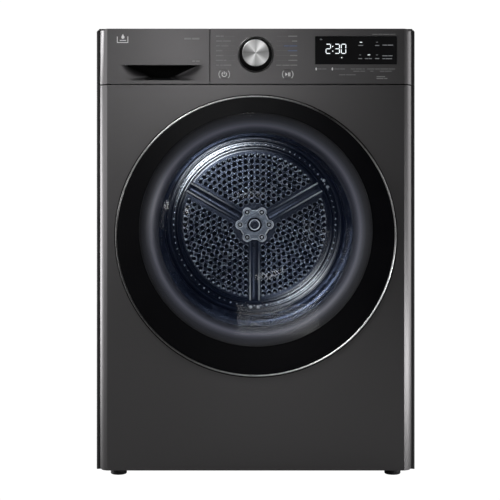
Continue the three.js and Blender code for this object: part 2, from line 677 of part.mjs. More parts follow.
// The glass bowl that keeps the laundry off the door.
add("door_bowl", "clear_glass", turned([
  [184, -303], [170, -294], [154, -270], [112, -242], [0, -233],
  [0, -237], [110, -246], [150, -272.5], [166, -297.5], [184, -307],
], 0, GLASS_Z));

// The hinge: a bracket on the front panel with two bent arms, a pin through them and a leaf on the door.
const ARM_Z = [22, 38]; // each arm's height range above and below the door's middle
const LEAF_Z = 21.5; // half height of the leaf, between the arms
function hingeBracket() {
  const [left, right] = [HINGE_X - 20.5, HINGE_X + 4];
  const hook = outline([
    [left + 3, HINGE_Y - 3], [right, HINGE_Y - 3], [right, HINGE_Y + 3], [left + 4, HINGE_Y + 3],
    [left + 4, -312], [left, -312], [left, HINGE_Y],
  ]);
  const arms = [-1, 1].map((side) => {
    const [z0, z1] = ARM_Z.map((z) => DOOR_Z + side * z).sort((a, b) => a - b);
    return alongZ(hook, z0, z1);
  });
  const plate = box(HINGE_X - 40, HINGE_X - 15, -313.4, FRONT_Y - GAP, DOOR_Z - 40, DOOR_Z + 40);
  return cut(join(plate, ...arms), post(HINGE_X, HINGE_Y, 2.9, DOOR_Z - 45, DOOR_Z + 45, 12));
}
add("hinge_bracket", "zinc_steel", hingeBracket());
add("hinge_pin", "stainless", post(HINGE_X, HINGE_Y, 2.5, DOOR_Z - 39, DOOR_Z + 39, 12));
add("hinge_leaf", "zinc_steel", cut(
  join(
    post(HINGE_X, HINGE_Y, 5, DOOR_Z - LEAF_Z, DOOR_Z + LEAF_Z, 16),
    box(HINGE_X - 17.5, HINGE_X + 8, -338.6, -335.6, DOOR_Z - LEAF_Z, DOOR_Z + LEAF_Z),
  ),
  post(HINGE_X, HINGE_Y, 2.9, DOOR_Z - 45, DOOR_Z + 45, 12),
));

// The latch: a hook on the door that enters a catch behind the front panel.
add("latch_hook", "light_plastic", join(
  box(-225, -217, -312.8, -300, GLASS_Z - 9, GLASS_Z + 9),
  box(-225, -215, -303, -300, GLASS_Z - 9, GLASS_Z + 9),
));
add("latch_catch", "black_plastic", cut(
  box(-236, -213, -308.4, -284, GLASS_Z - 30, GLASS_Z + 30),
  box(-230, -212, -310, -290, GLASS_Z - 18, GLASS_Z + 18),
));

export default dryer;
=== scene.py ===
"""The looks of a front-loading heat pump dryer, built round its CAD frame. Metres, front -Y, up +Z."""
import json
import math

import bmesh
import bpy
from mathutils import Matrix, Vector


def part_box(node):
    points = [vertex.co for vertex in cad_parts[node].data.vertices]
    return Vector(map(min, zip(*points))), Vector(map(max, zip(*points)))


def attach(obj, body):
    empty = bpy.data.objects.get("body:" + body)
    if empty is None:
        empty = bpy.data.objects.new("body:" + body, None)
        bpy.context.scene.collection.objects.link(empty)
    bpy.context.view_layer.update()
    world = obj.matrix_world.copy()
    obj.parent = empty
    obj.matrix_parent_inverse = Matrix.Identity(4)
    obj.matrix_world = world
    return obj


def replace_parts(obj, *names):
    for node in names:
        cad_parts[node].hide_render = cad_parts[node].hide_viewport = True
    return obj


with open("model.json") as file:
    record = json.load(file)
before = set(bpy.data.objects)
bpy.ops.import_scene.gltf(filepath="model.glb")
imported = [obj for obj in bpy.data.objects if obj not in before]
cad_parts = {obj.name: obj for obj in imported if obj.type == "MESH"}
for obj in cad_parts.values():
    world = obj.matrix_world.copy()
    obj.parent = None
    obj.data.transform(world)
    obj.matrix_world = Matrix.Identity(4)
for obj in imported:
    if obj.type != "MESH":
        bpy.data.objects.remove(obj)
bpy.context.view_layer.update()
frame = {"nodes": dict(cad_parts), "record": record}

MM = 0.001


# ---- Places, read from the frame ----

def low(node):
    return Vector(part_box(node)[0])


def high(node):
    return Vector(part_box(node)[1])


def ends(node):
    return low(node), high(node)


def middle(node):
    return (low(node) + high(node)) / 2


FACE_Y = low("front_panel").y  # the flat front, not counting the door
FACE_HALF = high("front_panel").x
STRIP_BOTTOM, STRIP_TOP = low("control_panel").z, high("control_panel").z
DOOR = middle("door_trim_ring")
DOOR_FRONT = low("door_cover").y
TRIM_R = high("door_trim_ring").x
COVER_R = high("door_cover").x
GLASS = middle("door_bowl")
DRUM = middle("drum_shell")
DRUM_R = high("drum_shell").x
DRUM_BACK = low("drum_rear_plate").y + 22 * MM  # the flat middle of the rear plate
DIAL = middle("dial_knob")
POWER, START = middle("power_button"), middle("start_button")
WINDOW = ends("display_window")


# ---- Materials ----

class Look:
    """A node material built round one Principled shader."""

    def __init__(self, name, colour, roughness, metallic=0.0, **inputs):
        self.material = bpy.data.materials.new(name)
        self.material.use_nodes = True
        self.tree = self.material.node_tree
        self.shader = self.tree.nodes["Principled BSDF"]
        self.colour = colour
        values = {"Base_Color": (*colour, 1), "Roughness": roughness, "Metallic": metallic, **inputs}
        for socket, value in values.items():
            self.shader.inputs[socket.replace("_", " ")].default_value = value
        self.where = self.node("ShaderNodeTexCoord").outputs["Object"]

    def node(self, kind, sockets=None, **settings):
        """A new node with its settings and the values of its sockets."""
        made = self.tree.nodes.new(kind)
        for key, value in settings.items():
            setattr(made, key, value)
        for socket, value in (sockets or {}).items():
            made.inputs[socket].default_value = value
        return made

    def join(self, source, target):
        self.tree.links.new(source, target)

    def noise(self, scale, detail=3.0, stretch=(1, 1, 1)):
        """Noise from 0 to 1; scale is in features per metre."""
        mapping = self.node("ShaderNodeMapping", {"Scale": stretch})
        self.join(self.where, mapping.inputs["Vector"])
        made = self.node("ShaderNodeTexNoise", {"Scale": scale, "Detail": detail})
        self.join(mapping.outputs["Vector"], made.inputs["Vector"])
        return made.outputs["Fac"]

    def cells(self, **sockets):
        """The distance from the middle of each cell of a Voronoi pattern."""
        made = self.node("ShaderNodeTexVoronoi", sockets)
        self.join(self.where, made.inputs["Vector"])
        return made.outputs["Distance"]

    def between(self, source, start, end, first, last):
        """The source's start to end mapped to first to last."""
        spans = {"From Min": start, "From Max": end, "To Min": first, "To Max": last}
        made = self.node("ShaderNodeMapRange", spans)
        self.join(source, made.inputs["Value"])
        return made.outputs["Result"]

    def graded(self, source, stops):
        """A colour that follows the source through stops of (place, grey or colour)."""
        made = self.node("ShaderNodeValToRGB")
        marks = made.color_ramp.elements
        marks[0].position, marks[1].position = stops[0][0], stops[-1][0]
        for at, _ in stops[1:-1]:
            marks.new(at)
        for mark, (_, colour) in zip(marks, stops):
            mark.color = (*colour, 1) if isinstance(colour, tuple) else (colour, colour, colour, 1)
        self.join(source, made.inputs["Fac"])
        return made.outputs["Color"]

    def ramp(self, source, stops):
        self.join(self.graded(source, stops), self.shader.inputs["Base Color"])

    def vary_colour(self, source, spread):
        """The colour grows darker and lighter by the spread as the source runs from 0 to 1."""
        dark = tuple(c * (1 - spread) for c in self.colour)
        light = tuple(min(1, c * (1 + spread)) for c in self.colour)
        self.ramp(source, [(0.3, dark), (0.7, light)])

    def vary_roughness(self, source, lowest, highest):
        self.join(self.between(source, 0.3, 0.7, lowest, highest), self.shader.inputs["Roughness"])

    def vary(self, grain, spread, patches, lowest, highest):
        """Colour and roughness that follow two noises, each given as its scale and detail."""
        self.vary_colour(self.noise(*grain), spread)
        self.vary_roughness(self.noise(*patches), lowest, highest)

    def blend(self, factor, first, second):
        """The colour runs from the first to the second as the factor grows."""
        mix = self.node("ShaderNodeMix", data_type="RGBA")
        mix.inputs["A"].default_value, mix.inputs["B"].default_value = (*first, 1), (*second, 1)
        self.join(factor, mix.inputs["Factor"])
        self.join(mix.outputs["Result"], self.shader.inputs["Base Color"])

    def times(self, first, second):
        product = self.node("ShaderNodeMath", operation="MULTIPLY")
        self.join(first, product.inputs[0])
        self.join(second, product.inputs[1])
        return product.outputs[0]

    def bump(self, source, distance, strength=1.0):
        made = self.node("ShaderNodeBump", {"Distance": distance, "Strength": strength})
        self.join(source, made.inputs["Height"])
        self.join(made.outputs["Normal"], self.shader.inputs["Normal"])

    def apart(self):
        """The place on the object as separate X, Y and Z."""
        made = self.node("ShaderNodeSeparateXYZ")
        self.join(self.where, made.inputs[0])
        return made.outputs

    def from_centre(self, centre):
        """The place on the front as seen from a centre: x to the right and y up."""
        flat = self.node("ShaderNodeCombineXYZ")
        apart = self.apart()
        self.join(apart["X"], flat.inputs["X"])
        self.join(apart["Z"], flat.inputs["Y"])
        moved = self.node("ShaderNodeVectorMath", {1: (centre.x, centre.z, 0)}, operation="SUBTRACT")
        self.join(flat.outputs[0], moved.inputs[0])
        return moved.outputs[0]

    def turn_round(self, centre):
        """0 to 1 anticlockwise round a centre, from the left."""
        swirl = self.node("ShaderNodeTexGradient", gradient_type="RADIAL")
        self.join(self.from_centre(centre), swirl.inputs["Vector"])
        return swirl.outputs["Fac"]

    def away_from(self, centre):
        length = self.node("ShaderNodeVectorMath", operation="LENGTH")
        self.join(self.from_centre(centre), length.inputs[0])
        return length.outputs["Value"]


def satin_metal(name, colour, roughness):
    """Dark lacquered steel: a fine metallic flake under a slightly uneven coat."""
    look = Look(name, colour, roughness, metallic=0.92)
    look.vary((900, 2), 0.05, (3.5, 4), roughness - 0.02, roughness + 0.03)
    look.bump(look.noise(260, 3), 0.00002, 0.25)
    return look.material


def moulded(name, colour, roughness, grain=0.00004, shine=0.35, patchy=0.05):
    """Moulded plastic with a fine spark-eroded grain."""
    look = Look(name, colour, roughness, Specular_IOR_Level=shine)
    look.vary((30, 4), 0.07, (12, 3), roughness - patchy, roughness + patchy)
    look.bump(look.noise(1400, 2), grain, 0.5)
    return look.material


def plain_metal(name, colour, roughness, scale=60.0, metallic=1.0):
    """Bare metal with a fine even grain."""
    look = Look(name, colour, roughness, metallic=metallic)
    look.vary((scale, 4), 0.05, (scale, 4), roughness * 0.8, roughness * 1.25)
    look.bump(look.noise(scale * 8, 2), 0.00002, 0.3)
    return look.material


def galvanised(name):
    """Zinc plated sheet with its faint crystal spangle."""
    look = Look(name, (0.5, 0.51, 0.52), 0.42, metallic=0.9)
    look.vary_colour(look.between(look.cells(Scale=110), 0, 1, 0.3, 0.7), 0.12)
    look.vary_roughness(look.noise(40, 3), 0.36, 0.5)
    return look.material


def rubber_look(name):
    look = Look(name, (0.012, 0.012, 0.013), 0.72)
    look.vary((60, 4), 0.2, (25, 3), 0.62, 0.82)
    look.bump(look.noise(900, 2), 0.00005, 0.6)
    return look.material


def gloss(name, colour, roughness=0.1, shine=0.12):
    """Polished black plastic or back-printed glass."""
    look = Look(name, colour, roughness, Specular_IOR_Level=shine)
    look.vary((9, 3), 0.12, (18, 3), roughness - 0.02, roughness + 0.03)
    return look.material


def see_through(name, colour, alpha, roughness=0.03):
    look = Look(name, colour, roughness, Alpha=alpha, IOR=1.5)
    look.vary((6, 2), 0.1, (14, 3), roughness * 0.6, roughness * 1.5)
    return look.material


def glowing(name, colour, strength):
    look = Look(name, colour, 0.4, Emission_Strength=strength, Emission_Color=(*colour, 1))
    look.vary_colour(look.noise(400, 2), 0.06)
    return look.material


def printed(name, colour):
    look = Look(name, colour, 0.5)
    look.vary((500, 2), 0.1, (200, 2), 0.42, 0.58)
    return look.material


def all_round(painted_fans):
    """Stops of (place round from the left, grey) for painted sheen given as (degrees, grey) pairs."""
    ordered = sorted(((degrees + 180) % 360 / 360, grey) for degrees, grey in painted_fans)
    seam = (ordered[0][1] + ordered[-1][1]) / 2
    return [(0, seam), *ordered, (1, seam)]


def metal_with_painted_sheen(name, centre, painted_fans, roughness):
    """Turned metal round a centre with painted sheen: its brightness is painted into the colour by angle,
    given as (angle in degrees, grey).
    """
    look = Look(name, (0.7, 0.7, 0.71), roughness, metallic=1.0)
    look.ramp(look.turn_round(centre), all_round(painted_fans))
    look.vary_roughness(look.noise(500, 2), roughness * 0.85, roughness * 1.15)
    return look.material


def flare_with_painted_highlights(name, dark, bright, painted_sweeps, rings):
    """Polished steel turned round the drum's middle, with painted highlights: white arcs painted into the
    colour by angle, broken up into fine rings.
    """
    look = Look(name, dark, 0.3, metallic=1.0)
    grooves = look.node("ShaderNodeTexNoise", {"Scale": rings, "Detail": 4}, noise_dimensions="1D")
    look.join(look.away_from(DRUM), grooves.inputs["W"])
    sheen = look.graded(look.turn_round(DRUM), all_round(painted_sweeps))
    look.blend(look.times(sheen, look.between(grooves.outputs["Fac"], 0.46, 0.6, 0, 1)), dark, bright)
    return look.material


def scoop_painted_shade_look():
    """The front's lacquer with painted shade: its colour darkens as the surface falls back into the handle's
    pocket.
    """
    look = Look("graphite_scoop_painted_shade", GRAPHITE, 0.42, metallic=0.92)
    fall = look.between(look.apart()["Y"], FACE_Y, FACE_Y + 6 * MM, 0, 1)
    look.ramp(fall, [
        (0, GRAPHITE), (0.12, (0.06, 0.058, 0.06)),
        (0.45, (0.024, 0.023, 0.024)), (1, (0.007, 0.007, 0.007))])
    look.vary_roughness(look.noise(3.5, 4), 0.35, 0.39)
    look.bump(look.noise(260, 3), 0.00002, 0.25)
    return look.material


def bell_painted_light_look():
    """Satin blue-grey moulding with painted light: a painted highlight band, with painted shade that darkens
    towards the bowl and fades to black under the cover's border.
    """
    look = Look("bell_moulding_painted_light", BELL_PAINTED_HIGHLIGHT, 0.42)
    painted_light_fade = look.between(look.away_from(GLASS), 184 * MM, 224 * MM, 0, 1)
    look.ramp(painted_light_fade, [
        (0, (0.03, 0.032, 0.042)), (0.18, (0.08, 0.085, 0.115)), (0.3, BELL_PAINTED_HIGHLIGHT),
        (0.42, (0.1, 0.105, 0.135)), (0.56, (0.04, 0.042, 0.054)), (0.74, (0.018, 0.019, 0.024)),
        (0.86, (0.002, 0.002, 0.003)), (1, (0.001, 0.001, 0.001))])
    look.vary_roughness(look.noise(14, 3), 0.38, 0.46)
    look.bump(look.noise(1400, 2), 0.00002, 0.3)
    return look.material


def drum_wall_look():
    """Stainless wall with the pressed dimples of a laundry drum."""
    look = Look("drum_wall_steel", (0.06, 0.072, 0.105), 0.3, metallic=1.0)
    lengthways = (1, 0.05, 1)
    look.vary((50, 3, lengthways), 0.06, (30, 3, lengthways), 0.2, 0.3)
    look.bump(look.between(look.cells(Scale=38, Randomness=0.1), 0, 0.5, 0, 1), 0.0012, 0.6)
    return look.material


def crest_painted_highlight_look():
    """Polished rib edges with a painted highlight: painted near-white by the rim and darker towards the hub.
    """
    look = Look("rib_edges_painted_highlight", (0.9, 0.93, 0.97), 0.38, metallic=0.3)
    out = look.between(look.away_from(DRUM), 60 * MM, 165 * MM, 0, 1)
    look.blend(out, (0.1, 0.115, 0.15), (1.0, 1.0, 1.0))
    look.vary_roughness(look.noise(80, 3), 0.32, 0.46)
    return look.material


GRAPHITE = (0.098, 0.095, 0.097)
# The peak of the bell's painted highlight.
BELL_PAINTED_HIGHLIGHT = (0.185, 0.19, 0.245)
# Painted sheen: greys by angle round the dial rim, the door ring and the dial face stand in for their
# highlights.
RIM_PAINTED_SHEEN = [(0, 0.03), (90, 0.06), (125, 0.4), (155, 0.14), (190, 0.05), (270, 0.03)]
TRIM_PAINTED_SHEEN = [
    (0, 0.22), (30, 0.4), (60, 0.08), (90, 0.6), (120, 0.95), (150, 0.34), (172, 0.06),
    (188, 0.05), (210, 0.14), (240, 0.25), (270, 0.6), (300, 1.0), (330, 1.0)]
DIAL_PAINTED_SHEEN = [
    (8, 0.22), (30, 0.42), (52, 1.0), (66, 0.95), (88, 0.5), (100, 0.62), (128, 0.9), (150, 0.45),
    (178, 0.2), (200, 0.3), (232, 0.95), (246, 1.0), (268, 0.42), (285, 0.5), (312, 0.75), (335, 0.35)]
# Painted highlights: greys by angle round the drum's ridges.
FLARE_PAINTED_HIGHLIGHTS = [
    (0, 0.06), (60, 0.02), (92, 0.35), (118, 1.0), (150, 0.7), (168, 0.15),
    (190, 0.05), (240, 0.0), (275, 0.02), (296, 0.4), (318, 0.9), (340, 0.35)]
LOOKS = {
    "front_steel": satin_metal("graphite_front", GRAPHITE, 0.34),
    "graphite_plastic": satin_metal("graphite_lacquer", GRAPHITE, 0.35),
    "scoop": scoop_painted_shade_look(),
    "side_steel": moulded("graphite_side", (0.018, 0.0175, 0.0185), 0.5, 0.00002),
    "top_board": moulded("top_laminate", (0.022, 0.0215, 0.0225), 0.45, 0.0001, patchy=0.01),
    "zinc_steel": galvanised("galvanised_sheet"),
    "stainless": plain_metal("drum_stainless", (0.05, 0.058, 0.08), 0.32, metallic=0.85),
    "drum_wall": drum_wall_look(),
    "flare": flare_with_painted_highlights("drum_flare_painted_highlights", (0.012, 0.017, 0.03), (1.0, 1.0, 1.0), FLARE_PAINTED_HIGHLIGHTS, 420),
    # Painted glint: a near-white, mostly unmetallic colour stands in for the highlights on polished edges,
    # dots and rivets.
    "edge_painted_glint": plain_metal("edges_painted_glint", (0.85, 0.88, 0.92), 0.4, 80, metallic=0.35),
    "crest": crest_painted_highlight_look(),
    "pressed_rim": plain_metal("pressed_rims", (0.8, 0.85, 0.92), 0.26, 80),
    "hub_cast": plain_metal("hub_casting", (0.27, 0.3, 0.35), 0.35, 80, metallic=0.9),
    "dark_steel": plain_metal("dark_steel", (0.08, 0.09, 0.115), 0.35),
    "bright_trim": metal_with_painted_sheen("polished_trim_painted_sheen", DOOR, TRIM_PAINTED_SHEEN, 0.3),
    "dial_metal": metal_with_painted_sheen("spun_aluminium_painted_sheen", DIAL, DIAL_PAINTED_SHEEN, 0.42),
    "dial_rim_painted_sheen": metal_with_painted_sheen("dial_rim_painted_sheen", DIAL, RIM_PAINTED_SHEEN, 0.35),
    "aluminium": plain_metal("cast_aluminium", (0.72, 0.76, 0.82), 0.3, 80, metallic=0.9),
    "copper": plain_metal("copper_pipe", (0.72, 0.34, 0.2), 0.28),
    "compressor_black": moulded("black_enamel", (0.014, 0.014, 0.015), 0.3),
    "black_gloss": gloss("piano_black", (0.009, 0.009, 0.0095)),
    "door_border": gloss("door_border_black", (0.0016, 0.0016, 0.0024), 0.3, shine=0.08),
    "black_plastic": moulded("black_moulding", (0.016, 0.016, 0.017), 0.5),
    # Near-black moulding, also used as painted shade: in the handle's hollow, behind the drum's holes and as
    # a shadow line round the door ring.
    "black_and_painted_shade": moulded("black_and_painted_shade", (0.004, 0.004, 0.004), 0.8, shine=0.05),
    "grey_plastic": moulded("blue_grey_moulding", (0.075, 0.083, 0.105), 0.38),
    "tunnel_grey": moulded("tunnel_moulding", (0.05, 0.056, 0.07), 0.42),
    "bell": bell_painted_light_look(),
    "light_plastic": moulded("light_grey_moulding", (0.5, 0.51, 0.52), 0.45),
    "circuit_board": moulded("board_green", (0.02, 0.12, 0.045), 0.5),
    "rubber": rubber_look("black_rubber"),
    "tinted_glass": see_through("smoked_glass", (0.004, 0.006, 0.014), 0.1),
    "clear_glass": see_through("moulded_glass", (0.02, 0.03, 0.07), 0.12, 0.05),
    "print": printed("light_print", (0.26, 0.26, 0.26)),
    "print_dim": printed("dim_print", (0.18, 0.18, 0.182)),
    "print_blue": printed("blue_print", (0.11, 0.15, 0.27)),
    "print_bright": printed("bright_print", (0.85, 0.85, 0.85)),
    "lit": glowing("lit_segments", (0.9, 0.95, 1.0), 0.75),
    "lit_dim": glowing("dim_segments", (0.3, 0.31, 0.33), 0.06),
}
# The slots of looks that aren't made of the same stuff as the node they are used on.
LOOK_SLOTS = {
    "rubber": "rubber", "door_border": "black_gloss",
    **dict.fromkeys(("black_and_painted_shade", "compressor_black"), "black_plastic"),
    **dict.fromkeys(("aluminium", "zinc_steel", "dark_steel", "dial_rim_painted_sheen"), "zinc_steel"),
    **dict.fromkeys(("print", "print_dim", "print_blue", "print_bright", "lit", "lit_dim"), "light_plastic"),
}


# ---- Making pieces ----

SLOT_OF = {s["node"]: s["material_slot"] for s in frame["record"]["subparts"]}
BODY_OF = {node: body for body, nodes in frame["record"]["behaviour"]["bodies"].items() for node in nodes}


def link(name, data):
    obj = bpy.data.objects.new(name, data)
    bpy.context.scene.collection.objects.link(obj)
    return obj


def open_mesh(name, points, faces):
    mesh = bpy.data.meshes.new(name)
    mesh.from_pydata([tuple(p) for p in points], [], faces)
    return link(name, mesh)


def rework(obj, change=None):
    """Turns the mesh's faces outwards, after a change to its bmesh."""
    work = bmesh.new()
    work.from_mesh(obj.data)
    if change:
        change(work)
    bmesh.ops.recalc_face_normals(work, faces=work.faces)
    work.to_mesh(obj.data)
    work.free()
    return obj


def solid(name, points, faces):
    obj = open_mesh(name, points, faces)
    obj.data.validate()
    return rework(obj)


def applied(obj):
    """The object with its modifiers made real, as a mesh."""
    graph = bpy.context.evaluated_depsgraph_get()
    mesh = bpy.data.meshes.new_from_object(obj.evaluated_get(graph))
    if obj.type != "MESH":
        name = obj.name
        bpy.data.objects.remove(obj)
        return link(name, mesh)
    obj.modifiers.clear()
    obj.data = mesh
    return obj


def carve(obj, operation, *tools):
    """Cuts or joins the object with tools, which are used up."""
    for tool in tools:
        cut = obj.modifiers.new("cut", "BOOLEAN")
        cut.operation, cut.object, cut.solver = operation, tool, "EXACT"
    made = applied(obj)
    for tool in tools:
        bpy.data.objects.remove(tool)
    return made


def soften(obj, width, angle=30):
    edge = obj.modifiers.new("edge", "BEVEL")
    edge.width, edge.segments = width, 2
    edge.limit_method, edge.angle_limit = "ANGLE", math.radians(angle)
    edge.harden_normals = True
    return obj


def place(obj, node, look=None, sharp=18):
    """Finishes a piece: it rides on the node's body and takes the node's material, or a look of its own."""
    for polygon in obj.data.polygons:
        polygon.use_smooth = True
    obj.data.set_sharp_from_angle(angle=math.radians(sharp))
    obj.data.materials.clear()
    obj.data.materials.append(LOOKS[look or SLOT_OF[node]])
    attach(obj, BODY_OF[node])
    return obj


def replace(obj, node, look=None, sharp=18):
    """Finishes a piece that takes the node's place."""
    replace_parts(place(obj, node, look, sharp), node)


def from_mm(pairs, first=0.0, second=0.0):
    """Pairs in mm, counted from a place in metres."""
    return [(first + a * MM, second + b * MM) for a, b in pairs]


def about(at, *outlines):
    """Outlines in mm round a place on the front or back."""
    return [from_mm(outline, at.x, at.z) for outline in outlines]


def bands(rows, width, start=0, closed=True):
    """The faces between rows of points, each row a closed ring or an open line."""
    faces = []
    for r in range(rows - 1):
        a, b = start + r * width, start + (r + 1) * width
        for i in range(width if closed else width - 1):
            j = (i + 1) % width
            faces.append((a + i, a + j, b + j, b + i))
    return faces


def circle(x, z, radius, count=32, start=0.0):
    turns = [start + 2 * math.pi * i / count for i in range(count)]
    return [(x + radius * math.cos(turn), z + radius * math.sin(turn)) for turn in turns]


def arc(x, z, inner, outer, start, end, count=10):
    """Part of a flat ring, from one angle to another in degrees."""
    turns = [math.radians(start + (end - start) * i / count) for i in range(count + 1)]
    sides = [(outer, turn) for turn in turns] + [(inner, turn) for turn in reversed(turns)]
    return [(x + radius * math.cos(turn), z + radius * math.sin(turn)) for radius, turn in sides]


def bar(x0, x1, z0, z1):
    return [(x0, z0), (x1, z0), (x1, z1), (x0, z1)]


def rounded(x0, x1, z0, z1, radius, count=6):
    """A bar with round corners."""
    left, right, bottom, top = x0 + radius, x1 - radius, z0 + radius, z1 - radius
    points = []
    for x, z, start in ((right, top, 0), (left, top, 90), (left, bottom, 180), (right, bottom, 270)):
        for i in range(count + 1):
            turn = math.radians(start + 90 * i / count)
            points.append((x + radius * math.cos(turn), z + radius * math.sin(turn)))
    return points


def spot_at(centre, degrees, radius):
    turn = math.radians(degrees)
    return centre.x + radius * math.cos(turn), centre.z + radius * math.sin(turn)


def turned(name, profile, centre, segments=128):
    """A closed profile of (radius, y) points turned about the line along Y through the centre."""
    points, rings = [], []
    for radius, y in profile:
        if radius < 1e-7:
            rings.append([len(points)] * segments)
            points.append((centre.x, y, centre.z))
        else:
            rings.append(list(range(len(points), len(points) + segments)))
            points += [(x, y, z) for x, z in circle(centre.x, centre.z, radius, segments)]
    pairs = list(zip(rings, rings[1:]))
    if profile[0][0] > 0:
        pairs.append((rings[-1], rings[0]))
    faces = []
    for a, b in pairs:
        for i in range(segments):
            j = (i + 1) % segments
            face = list(dict.fromkeys((a[i], a[j], b[j], b[i])))
            if len(face) > 2:
                faces.append(face)
    return solid(name, points, faces)


def standing(name, profile, at, z0):
    """A profile of (radius, height) points in mm turned about the upright line through a place."""
    made = turned(name, from_mm([(r, -height) for r, height in profile]), Vector((0, 0, 0)), 48)
    made.data.transform(Matrix.Translation((at.x, at.y, z0)) @ Matrix.Rotation(math.radians(-90), 4, "X"))
    return made


def plate(name, outlines, y0, y1, round_edge=0.0):
    """Closed outlines of (x, z) points, the inner ones being holes, between y0 and y1."""
    curve = bpy.data.curves.new(name, "CURVE")
    curve.dimensions, curve.fill_mode = "2D", "BOTH"
    curve.extrude = max(0.0, (y1 - y0) / 2 - round_edge)
    curve.bevel_depth, curve.bevel_resolution = round_edge, 2
    curve.offset = -round_edge
    for outline in outlines:
        spline = curve.splines.new("POLY")
        spline.points.add(len(outline) - 1)
        spline.use_cyclic_u = True
        for point, (x, z) in zip(spline.points, outline):
            point.co = (x, z, 0, 1)
    made = applied(link(name, curve))
    upright = Matrix.Rotation(math.radians(90), 4, "X")
    made.data.transform(Matrix.Translation((0, (y0 + y1) / 2, 0)) @ upright)
    return made


def block(name, lowest, highest):
    outline = bar(lowest[0], highest[0], lowest[1], highest[1])
    return prism(name, outline, lowest[2], highest[2])


def prism(name, outline, z0, z1):
    """An outline of (x, y) points raised from z0 to z1."""
    count = len(outline)
    points = [(x, y, z0) for x, y in outline] + [(x, y, z1) for x, y in outline]
    return solid(name, points, [tuple(range(count)), tuple(range(count, 2 * count)), *bands(2, count)])


def domes(name, spots, radius, height, y, count=10):
    """Small round heads that stand out to the front of y, or to its back if the height is negative."""
    rings = [(1.0, 0.3), (1.0, 0.0), (0.86, -0.55), (0.5, -0.9)]
    points, faces = [], []
    for x, z in spots:
        start = len(points)
        for scale, lift in rings:
            points += [(px, y + lift * height, pz) for px, pz in circle(x, z, radius * scale, count)]
        points.append((x, y - height, z))
        faces += bands(len(rings), count, start)
        last = start + (len(rings) - 1) * count
        faces += [(last + i, last + (i + 1) % count, len(points) - 1) for i in range(count)]
        faces.append(tuple(start + i for i in range(count)))
    return solid(name, points, faces)


# ---- Cabinet ----

EDGE = 16 * MM  # width of the rounded edge of the front pieces
EDGE_DEPTH = high("front_panel").y - FACE_Y
SKIN_HALF = FACE_HALF - 0.7 * MM  # the side panels show as a dark line beyond it
CREASE = 0.62  # the share of the rounded edge's fall that starts at once, as a crease
SKIN, STRIP_SKIN = 1.2 * MM, 3 * MM
CLEAR = 20 * MM  # how far a tool reaches past what it cuts
OPENING_R = 203 * MM
TUNNEL_R = 190 * MM
DRUM_LIP = 256 * MM  # radius of the drum's mouth
SHEET = 0.8 * MM  # thickness of the side panels


def through(outline, depth=40 * MM):
    """A tool that reaches through the front pieces."""
    return plate("tool", [outline], FACE_Y - CLEAR, FACE_Y + depth)


def slot_through(x0, x1, z0, z1):
    return block("tool", (x0, FACE_Y - CLEAR, z0), (x1, FACE_Y + 40 * MM, z1))


def front_outline(left, right, skin):
    """The front from above: flat, with a crease and a curve back at each side that has no end given."""
    def edge(side, inset):
        points = []
        for i in range(15):
            across = i / 14
            fall = CREASE * across + (1 - CREASE) * across ** 3
            x = SKIN_HALF - EDGE + across * (EDGE - inset)
            points.append((side * x, FACE_Y + inset + fall * (EDGE_DEPTH - inset)))
        return points

    def run(inset):
        start = edge(-1, inset)[::-1] if left is None else [(left, FACE_Y + inset)]
        end = edge(1, inset) if right is None else [(right, FACE_Y + inset)]
        return start + end

    return run(0) + run(skin)[::-1]


def front_piece(name, node, corner, skin, left=None, right=None, round_below=False):
    """A front skin whose top corners, or bottom ones, are rounded."""
    lo, hi = ends(node)
    body = prism(name, front_outline(left, right, skin), lo.z, hi.z)
    reach = SKIN_HALF + 0.5 * MM
    x0 = -reach if left is None else left - CLEAR
    x1 = reach if right is None else right + CLEAR
    z0, z1 = (lo.z, hi.z + CLEAR) if round_below else (lo.z - CLEAR, hi.z)
    return carve(body, "INTERSECT", through(rounded(x0, x1, z0, z1, corner)))


def make_front_panel():
    body = front_piece("front_skin", "front_panel", 9 * MM, SKIN, round_below=True)
    latch = slot_through(-228 * MM, -214 * MM, GLASS.z - 17 * MM, GLASS.z + 17 * MM)
    body = carve(body, "DIFFERENCE", through(circle(0, GLASS.z, OPENING_R, 128)), latch)
    replace(soften(body, 0.6 * MM), "front_panel")


def strip_piece(name, node, left=None, right=None):
    """Half of the control strip, with a lid that closes its top."""
    lo, hi = ends(node)
    body = front_piece(name, node, 5 * MM, STRIP_SKIN, left, right)
    x0 = lo.x + STRIP_SKIN if left is None else lo.x
    x1 = hi.x - STRIP_SKIN if right is None else hi.x
    return carve(body, "UNION", block("lid", (x0, FACE_Y + STRIP_SKIN, hi.z - STRIP_SKIN), (x1, hi.y, hi.z)))


def make_control_panel():
    lo, hi = ends("control_panel")
    body = strip_piece("control_skin", "control_panel", left=lo.x)
    corner, opposite = WINDOW
    gap = 0.3 * MM
    window = slot_through(corner.x - gap, opposite.x + gap, corner.z - gap, opposite.z + gap)
    holes = [through(circle(at.x, at.z, r * MM, 64)) for at, r in ((DIAL, 26), (POWER, 9.35), (START, 9.35))]
    body = carve(body, "DIFFERENCE", window, *holes)
    replace(soften(body, 0.5 * MM), "control_panel")
    # A soft seal fills the gap between the control panel and the tank's front.
    start = (high("tank_front").x + 0.1 * MM, FACE_Y + 2 * MM, lo.z)
    place(block("control_seal", start, (lo.x, hi.y, hi.z - 0.2 * MM)), "control_panel", "rubber")


